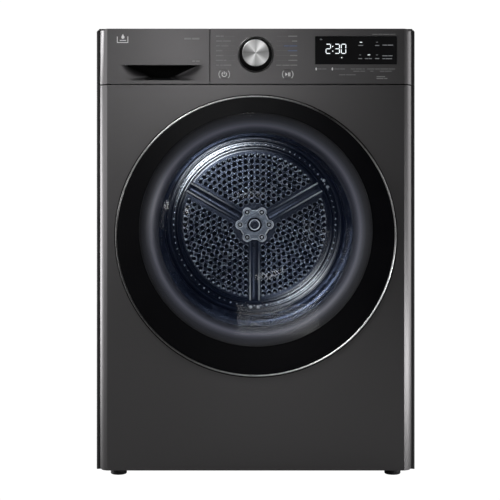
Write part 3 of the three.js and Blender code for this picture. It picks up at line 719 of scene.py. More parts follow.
POCKET_TOP = high("tank_front").z - 68.8 * MM  # the lip that the fingers pull
POCKET_X = -178 * MM
POCKET_FIELD = 82 * MM  # half width of the area that the relief covers
LIP_HALF, WAIST_HALF, FLARE_HALF = 70 * MM, 25.5 * MM, 37.5 * MM
WAIST_DROP, FLARE_DROP = 20.5 * MM, 29 * MM
POCKET_DEPTH, SCOOP_DEPTH = 25 * MM, 4.5 * MM
UPRIGHT_DROP = 12 * MM  # the hollow's back starts to come forward below this
JUST_BELOW = 0.001 * MM


def hollow_half(drop):
    """Half width of the dark hollow: wide at the lip, narrow at the waist, flared at the foot."""
    if drop <= WAIST_DROP:
        return LIP_HALF + (WAIST_HALF - LIP_HALF) * (max(drop, 0) / WAIST_DROP) ** 0.9
    return WAIST_HALF + (FLARE_HALF - WAIST_HALF) * min(1, (drop - WAIST_DROP) / (FLARE_DROP - WAIST_DROP))


def rim_depth(drop):
    """How deep the scooped face lies at the hollow's edge."""
    if drop <= 0 or drop >= FLARE_DROP:
        return 0
    return SCOOP_DEPTH * math.sin(math.pi * (drop / FLARE_DROP) ** 0.8) ** 0.7


def floor_depth(drop):
    """How deep the hollow is in its middle: it comes forward to the face at its foot."""
    if drop <= 0:
        return 0
    rise = max(0, drop - UPRIGHT_DROP) / (FLARE_DROP - UPRIGHT_DROP)
    return POCKET_DEPTH * math.sqrt(max(0, 1 - min(1, rise) ** 2))


def scoop_column(side, t):
    """From the edge of the relief (t = 0) to the edge of the hollow (t = 1)."""
    def at(drop):
        half = hollow_half(drop)
        return side * (POCKET_FIELD + (half - POCKET_FIELD) * t), rim_depth(drop) * t ** 2.2
    return at


def hollow_column(side, t):
    """From the edge of the hollow (t = 0) to its middle (t = 1)."""
    def at(drop):
        depth = rim_depth(drop) + (floor_depth(drop) - rim_depth(drop)) * (1 - (1 - t) ** 4)
        return side * hollow_half(drop) * (1 - t), max(depth, 0)
    return at


def relief(name, rows, columns, look=None):
    """A grid of the pocket's surface; each column gives (across, depth) for a drop."""
    points = []
    for drop in rows:
        for column in columns:
            across, depth = column(drop)
            points.append((POCKET_X + across, FACE_Y + depth, POCKET_TOP - drop))
    grid = open_mesh(name, points, bands(len(rows), len(columns), closed=False))
    place(grid, "tank_front", look, sharp=40)


def flat_relief(name, rows, half):
    relief(name, rows, [lambda drop, x=side * half: (x, 0) for side in (-1, 1)])


def make_tank_front():
    body = strip_piece("tank_skin", "tank_front", right=high("tank_front").x)
    above, below = 3 * MM, FLARE_DROP + 1.5 * MM
    area = slot_through(
        POCKET_X - POCKET_FIELD, POCKET_X + POCKET_FIELD, POCKET_TOP - below, POCKET_TOP + above)
    body = carve(applied(soften(body, 0.5 * MM)), "DIFFERENCE", area)

    under = [FLARE_DROP * i / 30 for i in range(31)]
    steps = [i / 14 for i in range(15)]
    for name, side in (("tank_scoop_left", -1), ("tank_scoop_right", 1)):
        rows = [-above, -JUST_BELOW, *under, below]
        relief(name, rows, [scoop_column(side, t) for t in steps], "scoop")
    flat_relief("tank_lip", [-above, -JUST_BELOW], LIP_HALF)
    flat_relief("tank_sill", [FLARE_DROP, below], FLARE_HALF)
    columns = [hollow_column(-1, t) for t in steps] + [hollow_column(1, t) for t in reversed(steps[:-1])]
    waist = next(i for i, drop in enumerate(under) if drop >= WAIST_DROP - JUST_BELOW)
    # The hollow and its foot are near-black as painted shade.
    relief("tank_hollow", [JUST_BELOW, *under[1:waist + 1]], columns, "black_and_painted_shade")
    relief("tank_flare", under[waist:], columns, "compressor_black")
    # The lip's underside roofs the hollow; its near-black is painted shade.
    edge = [column(under[1]) for column in columns]
    roof = [(POCKET_X + across, FACE_Y + depth + 1 * MM) for across, depth in edge]
    cover = prism("tank_lip_underside", roof, POCKET_TOP, POCKET_TOP + 2 * MM)
    place(cover, "tank_front", "black_and_painted_shade", sharp=40)
    replace(body, "tank_front")


def make_side_panel(node, side):
    """One folded sheet: its rounded nose swells out a little and shows as a dark line beside the front."""
    lo, hi = ends(node)
    wall = max(abs(lo.x), abs(hi.x))
    nose = FACE_Y + EDGE_DEPTH - 1 * MM
    behind = high("control_panel").y
    shoulder, top = high("top_panel").z - 24.5 * MM, STRIP_TOP - 0.3 * MM
    fold = [
        *from_mm([(0, 14), (1.7, 8), (2.5, 4), (2.2, 1.5), (1.4, 0.3), (0.5, 0)], wall, nose),
        (SKIN_HALF + 0.6 * MM, nose), (SKIN_HALF + 0.6 * MM, lo.y),
        *from_mm([(-13, 0), (-13, 0.8), (-0.8, 0.8)], wall, lo.y)]
    flange = from_mm([(-0.8, -0.8), (-16, -0.8), (-16, 0), (-1, 0), (0, -1)], wall, hi.y)
    sheet = prism(node + "_sheet", [(side * x, y) for x, y in fold + flange], lo.z, shoulder)
    replace(sheet, node, sharp=40)
    post = [(side * x, min(y, behind)) for x, y in fold]
    post += [(side * (wall - SHEET), behind), (side * wall, behind)]
    mask = through(rounded(-wall - 2.5 * MM, wall + 2.5 * MM, 0, top, 6 * MM), 60 * MM)
    upper = carve(prism(node + "_post", post, shoulder, top), "INTERSECT", mask)
    place(upper, node, sharp=40)


def make_side_pressing(node, side):
    """The shallow pressed field that stiffens a side panel, with a second step inside it."""
    lo, hi = ends(node)
    wall = max(abs(lo.x), abs(hi.x))
    back, front, bottom, top = lo.y + 0.06, hi.y - 0.04, lo.z + 0.07, STRIP_BOTTOM + 0.02
    steps = [
        rounded(back + inset, front - inset, bottom + inset, top - inset, radius, 10)
        for inset, radius in ((0, 0.03), (0.025, 0.02))]
    rim = plate(node + "_pressing", steps, wall - 0.6 * MM, wall + 1.4 * MM, 1.2 * MM)
    # The plate was made in the front's plane: its y becomes the distance from the middle.
    rim.data.transform(Matrix(((0, side, 0, 0), (1, 0, 0, 0), (0, 0, 1, 0), (0, 0, 0, 1))))
    if side > 0:
        rim.data.flip_normals()
    place(rim, node, sharp=60)


def screws(name, node, spots, y, radius=4 * MM, look="aluminium"):
    """Round screw heads that stand out to the back of y."""
    place(domes(name, spots, radius, -2.2 * MM, y, count=16), node, look, sharp=50)


def make_rear_panel():
    lo, hi = ends("rear_panel")
    louvres = [lo.z + 56 * MM + 18 * MM * row for row in range(6)]
    sheet = plate("rear_sheet", [
        rounded(lo.x, hi.x, lo.z, hi.z, 3 * MM),
        *[bar(lo.x + 48 * MM, lo.x + 178 * MM, z, z + 7 * MM) for z in louvres],
        *about(DRUM, circle(0, 0, 60, 48)), *about(middle("drain_spigot"), circle(0, 0, 10, 32)),
        *about(middle("power_inlet"), bar(-15.4, 15.4, -11.9, 11.9))], lo.y, hi.y)
    replace(sheet, "rear_panel", sharp=40)
    hood = [(0, 8.2), (3.4, 4.4), (4.4, 0.4), (3.6, 0.2), (2.6, 3.8), (0, 7)]
    size = len(hood)
    for number, z in enumerate(louvres, 1):
        points = [(x, y, up) for x in (lo.x + 47 * MM, lo.x + 179 * MM) for y, up in from_mm(hood, hi.y, z)]
        faces = bands(2, size) + [tuple(range(size)), tuple(range(size, 2 * size))]
        awning = solid(f"rear_louvre_{number}", points, faces)
        place(soften(awning, 0.3 * MM), "rear_panel", sharp=30)
    rows = [(0.21, 0.06, lo.z + up) for up in (0.05, 0.085, 0.12)]
    rows += [(0.06, 0.13, hi.z - down) for down in (0.05, 0.08)]
    beads = [rounded(lo.x + left, hi.x - right, z, z + 12 * MM, 5.9 * MM) for left, right, z in rows]
    place(plate("rear_beads", beads, hi.y - 1.4 * MM, hi.y + 1.8 * MM, 1.5 * MM), "rear_panel", sharp=60)
    heights = (lo.z + 0.02, lo.z + 0.28, lo.z + 0.54, hi.z - 0.02)
    spots = [(x, z) for x in (lo.x + 9 * MM, hi.x - 9 * MM) for z in heights]
    screws("rear_panel_screws", "rear_panel", spots, hi.y)


def make_rear_duct_cover():
    """The round cover over the hot air duct: a raised middle with pressed rings and a screwed flange."""
    lo, hi = ends("rear_duct_cover")
    skin = 1 * MM
    outside = from_mm([
        (0, -2), (58, -2), (62, 0), (96, 0), (100, -2), (150, -2), (154, 0), (192, 0), (197, -1.5)], 0, hi.y)
    outside += [*from_mm([(207, 2), (210, 1)], 0, lo.y), (hi.x - skin, lo.y + skin)]
    inside = [(r - 0.5 * MM if r else 0, y - skin) for r, y in reversed(outside[:-1])]
    cover = turned("duct_cover", [*outside, (hi.x, lo.y), *inside], DRUM, 144)
    replace(cover, "rear_duct_cover", sharp=35)
    spots = [spot_at(DRUM, 22.5 + 45 * i, 225 * MM) for i in range(8)]
    screws("duct_cover_screws", "rear_duct_cover", spots, lo.y + skin)


def make_power_inlet():
    lo, hi = ends("power_inlet")
    at = middle("power_inlet")
    panel = high("rear_panel").y + 0.4 * MM
    sizes = ((12.5, 8.5, 2), (22, 15, 4), (15, 11.5, 3))
    mouth, flange, sleeve = about(at, *[rounded(-x, x, -z, z, radius) for x, z, radius in sizes])
    replace(plate("inlet_flange", [flange, mouth], panel, hi.y, 1 * MM), "power_inlet", sharp=50)
    place(plate("inlet_sleeve", [sleeve, mouth], lo.y, panel + 1 * MM), "power_inlet", sharp=50)
    place(plate("inlet_back", [sleeve], lo.y, lo.y + 3 * MM), "power_inlet", sharp=50)
    blades = about(at, *[bar(x - 1, x + 1, z - 2, z + 2) for x, z in ((-7, -2), (0, 3), (7, -2))])
    pins = plate("inlet_blades", blades, lo.y + 2 * MM, panel - 1 * MM, 0.3 * MM)
    place(pins, "power_inlet", "aluminium", sharp=50)
    spots = from_mm([(-18, 0), (18, 0)], at.x, at.z)
    screws("inlet_screws", "power_inlet", spots, hi.y, 2.4 * MM, "zinc_steel")


def make_drain_spigot():
    lo, hi = ends("drain_spigot")
    foot_y = high("rear_panel").y + 0.4 * MM
    barbs = [(r, at - 3.2 * i) for i in range(3) for r, at in ((8.2, 0), (9.2, -2.6), (8.4, -2.8))]
    foot = [(9, 2.4), (19, 2.4), (20, 1.6), (20, 0), (9, 0)]
    profile = [(6 * MM, lo.y), *from_mm([(6, 0), *barbs], 0, hi.y), *from_mm(foot, 0, foot_y), (9 * MM, lo.y)]
    replace(turned("spigot", profile, middle("drain_spigot"), 64), "drain_spigot", sharp=35)


def make_foot(node):
    """A levelling foot: a ribbed rubber pad under a lock nut and a threaded stud."""
    lo, hi = ends(node)
    at = middle(node)
    rim, tall = (hi.x - lo.x) / 2 / MM, (hi.z - lo.z) / MM
    profile = [(0, 0), (rim - 3, 0), (rim - 1, 0.8), (rim, 2.4), (rim, 4.4), (rim - 0.8, 5),
               (rim, 5.6), (rim, 7.8), (rim - 1.2, 9.4), (rim - 4, 10), (0, 10)]
    replace(standing(node + "_pad", profile, at, lo.z), node, sharp=30)
    threads = 12
    starts = [10 + (tall - 12) * i / threads for i in range(threads)]
    grooves = [point for z in starts for point in ((5.2, z), (4.6, z + 1))]
    stud = [(0, 9), (5.2, 9), *grooves, (5, tall), (0, tall)]
    place(standing(node + "_stud", stud, at, lo.z), node, "zinc_steel", sharp=30)
    nut = prism(node + "_nut", circle(at.x, at.y, 9 * MM, 6), lo.z + 10 * MM, lo.z + 12.4 * MM)
    place(soften(nut, 0.6 * MM), node, "zinc_steel", sharp=30)


def make_throat():
    """The front bulkhead: a plate, the smooth tunnel into the drum, and the pins of the two rollers."""
    lo, hi = ends("front_bulkhead")
    wall = low("drum_shell").y - 10 * MM
    outline = rounded(lo.x, hi.x, lo.z, hi.z, 60 * MM, 12)
    opening = circle(GLASS.x, GLASS.z, TUNNEL_R + 2 * MM, 128)
    sheet = plate("bulkhead_sheet", [outline, opening], wall, wall + 3 * MM, 0.8 * MM)
    replace(sheet, "front_bulkhead", sharp=40)
    tunnel = turned("tunnel", [
        *from_mm([(1.5, 0.3), (3, 0)], TUNNEL_R, lo.y),
        *from_mm([(211, 0), (212, 0.8), (212, 2.5)], 0, lo.y), (TUNNEL_R + 3 * MM, lo.y + 2.5 * MM),
        (TUNNEL_R + 3 * MM, wall + 3 * MM), (TUNNEL_R, wall + 3 * MM),
        *from_mm([(0, 3), (0.4, 1.2)], TUNNEL_R, lo.y)], GLASS, 160)
    filter_slot = block("tool", (-90 * MM, wall - 35 * MM, lo.z), (90 * MM, wall - 6 * MM, GLASS.z - 0.15))
    place(carve(tunnel, "DIFFERENCE", filter_slot), "front_bulkhead", "tunnel_grey", sharp=40)
    glide = from_mm([(3, 2), (6, 2), (6, 17), (5, 18), (4, 18), (3, 17)], DRUM_LIP, wall)
    place(turned("drum_glide", glide, DRUM), "front_bulkhead", sharp=40)
    for node in ("drum_roller_left", "drum_roller_right"):
        profile = from_mm([(0, 2), (5, 2)], 0, wall) + from_mm([(5, -1), (4.2, 0), (0, 0)], 0, hi.y)
        place(turned(node + "_pin", profile, middle(node), 32), "front_bulkhead", sharp=40)


def make_door_seal():
    """The felt and rubber lip round the opening, on which the door closes."""
    lip = [(-7.2, 3.6), (-7.4, 1.6), (-6.6, 0.5), (-5.4, 0.1), (-4.2, 0.7),
           (-3.4, 1.7), (-2.2, 1.5), (-0.8, 1.9), (-0.1, 2.8), (0, 3.6)]
    profile = from_mm(lip, high("door_seal").x, low("door_seal").y)
    replace(turned("seal_lip", profile, GLASS, 160), "door_seal", sharp=50)


def make_cabinet():
    for node, side in (("side_panel_left", -1), ("side_panel_right", 1)):
        make_side_panel(node, side)
        make_side_pressing(node, side)
    make_front_panel()
    make_control_panel()
    make_tank_front()
    make_door_seal()
    make_throat()
    make_rear_panel()
    make_rear_duct_cover()
    make_power_inlet()
    make_drain_spigot()
    for node in ("foot_front_left", "foot_front_right", "foot_rear_left", "foot_rear_right"):
        make_foot(node)


# ---- Door ----

BORDER_R = 217.5 * MM  # where the cover's black border ends
POCKET_HALF, GRIP_HALF = 43 * MM, 60 * MM  # half heights of the hinge pocket and of the door's grip


def domed(name, inner, outer, steps, depth, segments=144):
    """Part of the domed cover between two circles of (z of the middle, radius); radius 0 is a point."""
    points = []
    for s in range(steps + 1):
        z0, radius = (a + (b - a) * s / steps for a, b in zip(inner, outer))
        for x, z in circle(DOOR.x, z0, radius, segments):
            away = math.hypot(x - DOOR.x, z - DOOR.z)
            points.append((x, DOOR_FRONT + 3 * MM * (away / COVER_R) ** 2, z))
    skin = solid(name, points, bands(steps + 1, segments))

    def thicken(work):
        bmesh.ops.remove_doubles(work, verts=work.verts, dist=1e-6)
        made = bmesh.ops.extrude_face_region(work, geom=work.faces[:])
        added = [part for part in made["geom"] if isinstance(part, bmesh.types.BMVert)]
        bmesh.ops.translate(work, vec=(0, depth, 0), verts=added)

    return rework(skin, thicken)


def make_door():
    border = domed("cover_border", (GLASS.z, BORDER_R), (DOOR.z, COVER_R), 6, 3.2 * MM)
    replace(soften(border, 0.5 * MM), "door_cover", "door_border")
    place(domed("cover_glass", (GLASS.z, 0), (GLASS.z, BORDER_R - 0.1 * MM), 12, 3 * MM), "door_cover")

    front, back = low("door_trim_ring").y, high("door_trim_ring").y
    inside, outside = COVER_R + 0.4 * MM, TRIM_R - 1.7 * MM
    trim = from_mm([(0, 3), (0, 0.9), (-0.4, 0.3), (-1, 0), (-1.8, 0.1)], outside, front)
    trim += from_mm([(0.4, 0.6), (0, 1.2), (0, 3)], inside, front)
    replace(turned("trim_ring", trim, DOOR, 192), "door_trim_ring", sharp=50)
    # A dark skirt behind the bright ring is painted shadow: it shows as a dark line round it.
    skirt = [(inside, front + 3.1 * MM), *from_mm([(0.1, 3.1), (0.3, 2)], outside, front)]
    skirt += [(TRIM_R + 0.6 * MM, front + 2.6 * MM), (TRIM_R + 0.6 * MM, back - 1 * MM)]
    skirt += [(TRIM_R, back), (inside, back)]
    place(turned("trim_skirt_painted_shadow", skirt, DOOR, 192), "door_trim_ring", "black_and_painted_shade", sharp=50)

    lo, hi = ends("door_frame")
    rings = [circle(DOOR.x, DOOR.z, hi.x, 192), circle(GLASS.x, GLASS.z, 229 * MM, 160)[::-1]]
    behind = hi.y + 10 * MM
    start = (0.211, lo.y + 1.6 * MM, DOOR.z - POCKET_HALF)
    hinge_pocket = block("tool", start, (0.28, behind, DOOR.z + POCKET_HALF))
    start = (lo.x + 4 * MM, lo.y + 4.6 * MM, DOOR.z - GRIP_HALF)
    grip = block("tool", start, (-0.233, behind, DOOR.z + GRIP_HALF))
    body = carve(plate("door_body", rings, lo.y, hi.y, 1 * MM), "DIFFERENCE", hinge_pocket, grip)
    replace(soften(body, 0.5 * MM), "door_frame", sharp=35)

    # The bell: a smooth curve from the cover's border in to the bowl.
    rim = low("door_inner_frame").y
    bell = []
    for i in range(25):
        turn = math.radians(90 * i / 24)
        bell.append((228 - 42.2 * math.sin(turn) ** 1.15, 0.2 + 31 * (1 - math.cos(turn)) ** 1.05))
    bell += [(184.9, 40), (184.6, 50), (187.2, 50), (188.4, 27.2), (234, 27), (234, 16.8),
             (232, 16.8), (232, 24), (202, 24), (204, 12), (212, 6), (228, 3)]
    pocket = block(
        "tool", (0.205, rim + 8 * MM, DOOR.z - POCKET_HALF), (0.28, rim + 40 * MM, DOOR.z + POCKET_HALF))
    bell_ring = carve(turned("inner_frame", from_mm(bell, 0, rim), GLASS, 160), "DIFFERENCE", pocket)
    replace(bell_ring, "door_inner_frame", "bell", sharp=35)

    # The bowl: moulded glass with a rounded rim.
    outer = [(184, -304), (180.5, -299.5), (175, -296), (169, -290), (163, -281), (156, -270), (146, -259),
             (132, -249.5), (112, -242.5), (88, -238), (58, -234.8), (28, -233.4), (0, -233)]
    inner = [(0, -237), (28, -237.4), (58, -238.9), (87, -242), (110, -246.6), (129, -253.4), (142.5, -262.2),
             (152, -272.8), (159, -283.4), (165, -292.6), (172, -300), (179, -304.6), (183, -307)]
    replace(turned("glass_bowl", from_mm(outer + inner), GLASS, 160), "door_bowl", sharp=50)


# ---- Drum ----

RIB_ANGLES = (30, 150, 270)
SIEVE_R, INNER_RIDGE_R, OUTER_RIDGE_R = 175 * MM, 184 * MM, 206 * MM
PITCH, HOLE_R = 13.5 * MM, 5.2 * MM
BOLT_RING_R = 34.5 * MM


def on_rear_plate(obj, look=None, sharp=60):
    place(obj, "drum_rear_plate", look, sharp)


def on_hub(obj, look, sharp=60):
    place(obj, "drum_hub", look, sharp)


def disc(name, radius, y0, y1, segments):
    return turned(name, [(0, y0), (radius, y0), (radius, y1), (0, y1)], DRUM, segments)


def eyelets(name, spots, radius, y, count=12):
    """The pressed rims of a sheet's holes, all in one mesh."""
    section = [(-0.1, 0.3), (0.1, -0.7), (0.6, -1.2), (1.2, -0.9), (1.7, 0)]
    points, faces = [], []
    for x, z in spots:
        faces += bands(len(section), count, len(points))
        for out, lift in section:
            points += [(px, y + lift * MM, pz) for px, pz in circle(x, z, radius + out * MM, count)]
    return open_mesh(name, points, faces)


def off_rib(x, z, clear):
    """True if a point of the rear plate is clear of the three ribs."""
    for angle in RIB_ANGLES:
        turn = math.radians(angle)
        along = (x - DRUM.x) * math.cos(turn) + (z - DRUM.z) * math.sin(turn)
        across = -(x - DRUM.x) * math.sin(turn) + (z - DRUM.z) * math.cos(turn)
        if along > 0 and abs(across) < clear:
            return False
    return True


def rib(name, angle, section, y):
    """A pressed rib that runs out from the hub and sinks into the plate at its end; the section is in mm."""
    turn = math.radians(angle)
    stations = [(40, 1.0), (150, 1.0), (168, 1.0), (175, 0.9), (179, 0.55), (181, 0.1)]
    points = []
    for along, rise in stations:
        for across, up in section:
            points.append((
                DRUM.x + (along * math.cos(turn) - across * math.sin(turn)) * MM, y + up * MM * rise,
                DRUM.z + (along * math.sin(turn) + across * math.cos(turn)) * MM))
    width, last = len(section), len(section) * (len(stations) - 1)
    ends_of_rib = [tuple(range(width)), tuple(range(last, last + width))]
    return solid(name, points, bands(len(stations), width) + ends_of_rib)


def make_sieve(y):
    """The perforated middle of the rear plate; a black disc behind it is painted shade that darkens its
    holes.
    """
    spots = []
    for row in range(9):
        radius = 57 * MM + row * PITCH
        count = round(2 * math.pi * radius / (PITCH * 1.04))
        ring = [spot_at(DRUM, 360 * (i + 0.5 * (row % 2)) / count, radius) for i in range(count)]
        spots += [(x, z) for x, z in ring if off_rib(x, z, 18 * MM)]
    holes = [circle(x, z, HOLE_R, 10, math.pi / 10) for x, z in spots]
    outline = circle(DRUM.x, DRUM.z, SIEVE_R, 96)
    sheet = plate("drum_sieve", [outline, *holes], y - 0.7 * MM, y + 0.7 * MM, 0.6 * MM)
    replace(sheet, "drum_rear_plate", sharp=60)
    on_rear_plate(disc("drum_sieve_shade", SIEVE_R, y + 3 * MM, y + 4 * MM, 64), "black_and_painted_shade", sharp=18)
    on_rear_plate(eyelets("drum_sieve_rims", spots, HOLE_R, y - 0.7 * MM), "pressed_rim")


def make_rear_rim(y):
    """The two round ridges outside the sieve and the slope out to the wall."""
    ridges = [(SIEVE_R - 2 * MM, y)]
    for ridge_r, half, height in ((INNER_RIDGE_R, 5 * MM, 4.5 * MM), (OUTER_RIDGE_R, 8 * MM, 6.5 * MM)):
        for i in range(9):
            turn = math.pi * i / 8
            ridges.append((ridge_r - half * math.cos(turn), y - height * math.sin(turn)))
    slope = [
        ridges[-1], *from_mm([(218, -2), (222, -5), (228, -10), (236, -13), (252, -14.5), (272, -17)], 0, y),
        (DRUM_R - 2.5 * MM, y - 22 * MM)]
    for name, front, look in (("drum_rear_ridges", ridges, "flare"), ("drum_rear_slope", slope, "drum_wall")):
        backed = front + [(r, at + 1 * MM) for r, at in reversed(front)]
        on_rear_plate(turned(name, backed, DRUM, 160), look, sharp=40)


def make_studs(y):
    """The rings of small pressed dots, and the rivets at the ends of the ribs."""
    dots = [spot_at(DRUM, 360 * i / 84, 193 * MM) for i in range(84)]
    on_rear_plate(domes("drum_rim_dots", dots, 2.3 * MM, 1.8 * MM, y - 0.4 * MM), "pressed_rim")
    dots = [spot_at(DRUM, 360 * (i + 0.5) / 76, 168.5 * MM) for i in range(76)]
    dots = [(x, z) for x, z in dots if off_rib(x, z, 17 * MM)]
    on_rear_plate(domes("drum_sieve_dots", dots, 2.4 * MM, 1.8 * MM, y - 0.6 * MM), "edge_painted_glint")
    rivets = [spot_at(DRUM, angle + side * 2.6, 196 * MM) for angle in RIB_ANGLES for side in (-1, 1)]
    on_rear_plate(domes("rib_rivets", rivets, 4 * MM, 4 * MM, y - 2 * MM, count=14), "edge_painted_glint")


def make_ribs(y):
    half = [(15, 0), (14, -3.4), (12, -5.6), (9.4, -6), (7.6, -4.6), (5, -2.4)]
    section = [(-across, up) for across, up in half] + half[::-1]
    crest = [(-2, -5), (-1.5, -6.6), (0, -7.4), (1.5, -6.6), (2, -5)]
    for number, angle in enumerate(RIB_ANGLES, 1):
        on_rear_plate(rib(f"drum_rib_{number}", angle, section, y), sharp=50)
        for side, across in (("left", -10.5), ("right", 10.5)):
            moved = [(across + x, up) for x, up in crest]
            on_rear_plate(rib(f"rib_crest_{number}_{side}", angle, moved, y), "crest", sharp=50)


def hub_outline(inset):
    """Six lobes round the hub, drawn in by the inset."""
    lobe_r, lobe_at, waist = 11, 33.5, 34.5  # mm
    points = []
    for i in range(144):
        turn = 2 * math.pi * i / 144
        off_lobe = abs((turn + math.pi / 6) % (math.pi / 3) - math.pi / 6)
        chord = math.sqrt(max(0, lobe_r ** 2 - (lobe_at * math.sin(off_lobe)) ** 2))
        radius = max(lobe_at * math.cos(off_lobe) + chord, waist) * MM - inset
        points.append((DRUM.x + radius * math.cos(turn), DRUM.z + radius * math.sin(turn)))
    return points


def make_hub(y):
    """The cast hub cap: six bolts on lobes round a sunk nut."""
    top = y - 7.5 * MM
    seats = [spot_at(DRUM, 60 * i, BOLT_RING_R) for i in range(6)]
    holes = [circle(DRUM.x, DRUM.z, 17 * MM, 48)] + [circle(x, z, 6.2 * MM, 24) for x, z in seats]
    cap = plate("hub_cap", [hub_outline(0), *holes], top, y - 0.8 * MM, 1.4 * MM)
    replace(cap, "drum_hub", "hub_cast", sharp=60)
    # A black disc behind the cap's holes is painted shade.
    on_hub(disc("hub_shade", 38 * MM, y - 1.4 * MM, y - 1 * MM, 48), "black_and_painted_shade", sharp=18)
    edge = plate("hub_edge", [hub_outline(-1.2 * MM), hub_outline(1.6 * MM)], top - 0.6 * MM, y, 0.9 * MM)
    on_hub(edge, "edge_painted_glint")
    collars = [circle(x, z, radius * MM, 24) for x, z in seats for radius in (7.4, 6.1)]
    on_hub(plate("hub_collars", collars, top - 1 * MM, top + 1 * MM, 0.4 * MM), "edge_painted_glint")
    heads = [circle(x, z, 3.4 * MM, 6, math.radians(60 * i)) for i, (x, z) in enumerate(seats)]
    on_hub(plate("hub_bolts", heads, top + 1.2 * MM, y - 1.6 * MM, 0.6 * MM), "zinc_steel", sharp=40)
    webs = [arc(DRUM.x, DRUM.z, 20 * MM, 26.5 * MM, 60 * i + 8, 60 * i + 52, 8) for i in range(6)]
    on_hub(plate("hub_webs", webs, top - 1.6 * MM, top + 1 * MM, 0.8 * MM), "hub_cast")
    nut = [(0, -6.5), (3.4, -6.5), (4.2, -7.2), (5.2, -8.6), (6.4, -8.6), (7.2, -7.4),
           (8.6, -7.2), (10.6, -9.6), (13.2, -9.8), (13.8, -9), (13.8, -1), (0, -1)]
    on_hub(turned("hub_nut", from_mm(nut, 0, y), DRUM, 64), "dark_steel", sharp=35)
    lip = [(10.4, -9.4), (10.8, -10.4), (12, -10.6), (13, -10), (13.2, -9.4)]
    on_hub(turned("hub_nut_lip", from_mm(lip, 0, y), DRUM, 64), "edge_painted_glint", sharp=35)


def make_drum():
    make_sieve(DRUM_BACK)
    make_rear_rim(DRUM_BACK)
    make_studs(DRUM_BACK)
    make_ribs(DRUM_BACK - 0.6 * MM)
    make_hub(DRUM_BACK)
    wall = [
        (256, -240), (255.2, -236), (256, -229), (262, -224), (276, -216), (282, -213), (284, -208),
        (284, 244), (283, 250), (282.2, 250), (283.2, 243), (283.2, -207), (281.4, -212),
        (275.4, -215.2), (261.4, -223.2), (255.2, -228.6), (254.2, -236), (255.4, -240.8)]
    replace(turned("drum_wall", from_mm(wall), DRUM, 160), "drum_shell", "drum_wall", sharp=40)


# ---- Dial, buttons and display ----

PRINT_PROUD = 0.12 * MM  # how far the printing stands out
BUTTON_FACE = FACE_Y - 0.15 * MM
GLASS_FACE = FACE_Y - 0.25 * MM
ORIGIN = Vector((0, 0, 0))
SEGMENTS = {"2": "abged", "3": "abgcd", "0": "abcdef"}
DIGIT_WIDTH, DIGIT_HALF, STROKE = 8.6, 8.7, 1.5  # in mm, the half being that of the height


def make_dial():
    face = low("dial_knob").y
    skirt = from_mm([(25.2, 1.4), (25.9, 0.9), (26.6, 1.6), (27.2, 5), (28.6, 12)], 0, face)
    skirt += from_mm([(31, -1.2), (31.4, -0.6), (22, -0.6), (22, 8), (0, 8)], 0, FACE_Y)
    skirt += from_mm([(0, 3), (25.2, 3)], 0, face)
    replace(turned("dial_skirt", skirt, DIAL), "dial_knob", "black_and_painted_shade", sharp=30)
    cap = [(0, 0.9), (6, 0.85), (14, 0.6), (23.2, 0.1), (24.2, 0), (25.1, 0.5), (25.1, 2.8), (0, 2.8)]
    place(turned("dial_face", from_mm(cap, 0, face), DIAL), "dial_knob", sharp=16)
    seat = [(31.9, -0.3), (34.2, -0.3), (34.2, -0.9), (33.8, -1.4), (33, -1.6), (32.3, -1.3), (31.9, -0.8)]
    replace(turned("dial_seat", from_mm(seat, 0, FACE_Y), DIAL), "dial_bezel", "dial_rim_painted_sheen", sharp=50)


def make_buttons():
    profile = [(0, 0.05), (5, 0), (8.6, 0.05), (8.95, 0.35), (9.05, 0.9), (9.05, 4.5), (0, 4.5)]
    for node, at in (("power_button", POWER), ("start_button", START)):
        replace(turned(node + "_cap", from_mm(profile, 0, BUTTON_FACE), at, 96), node, sharp=30)


def print_on(name, outlines, node, look, at=ORIGIN, face=FACE_Y):
    """Flat printing; its outlines are in mm round a place."""
    place(plate(name, about(at, *outlines), face - PRINT_PROUD, face + 0.02 * MM), node, look, sharp=60)


def words(x, z, lengths, height=2.0, gap=1.4, align_right=False):
    """A row of plain bars where a label would be."""
    at = x - sum(lengths) - gap * (len(lengths) - 1) if align_right else x
    made = []
    for length in lengths:
        made.append(bar(at, at + length, z - height / 2, z + height / 2))
        at += length + gap
    return made


def make_labels():
    """Bars for the programme names, and the fine lines and ticks that lead from them to the dial."""
    left_words = [(7, 6), (12, 15), (8, 14), (12,), (14,), (13, 5), (6, 5, 15)]
    right_words = [(17,), (10,), (9, 15), (18,), (14,), (17,), (10, 14, 13)]
    blue_rows, last = (2, 3), 6
    left, right, blue, lines = [], [], [], []
    for i in range(last + 1):
        z = 34.6 - 9.13 * i
        reach = 38.5 + abs(i - 3) * 0.5
        label = words(-75, z, left_words[i])
        left += label
        facing = words(78.5, z, right_words[i], align_right=True)
        (blue if i in blue_rows else right).extend(facing)
        if i < last:
            lines.append(bar(label[-1][1][0] + 1.5, -reach, z - 0.22, z + 0.22))
            lines.append(bar(reach, facing[0][0][0] - 1.5, z - 0.22, z + 0.22))
    middles = [side + a for side in (180, 0) for a in range(-60, 61, 20)]
    ticks = [arc(0, 0, 36.4, 37.2, turn - 1.2, turn + 1.2, 2) for turn in middles]
    print_on("programme_labels", left + right, "control_panel", "print", DIAL)
    print_on("programme_labels_blue", blue, "control_panel", "print_blue", DIAL)
    print_on("programme_lines", lines + ticks, "control_panel", "print_dim", DIAL)


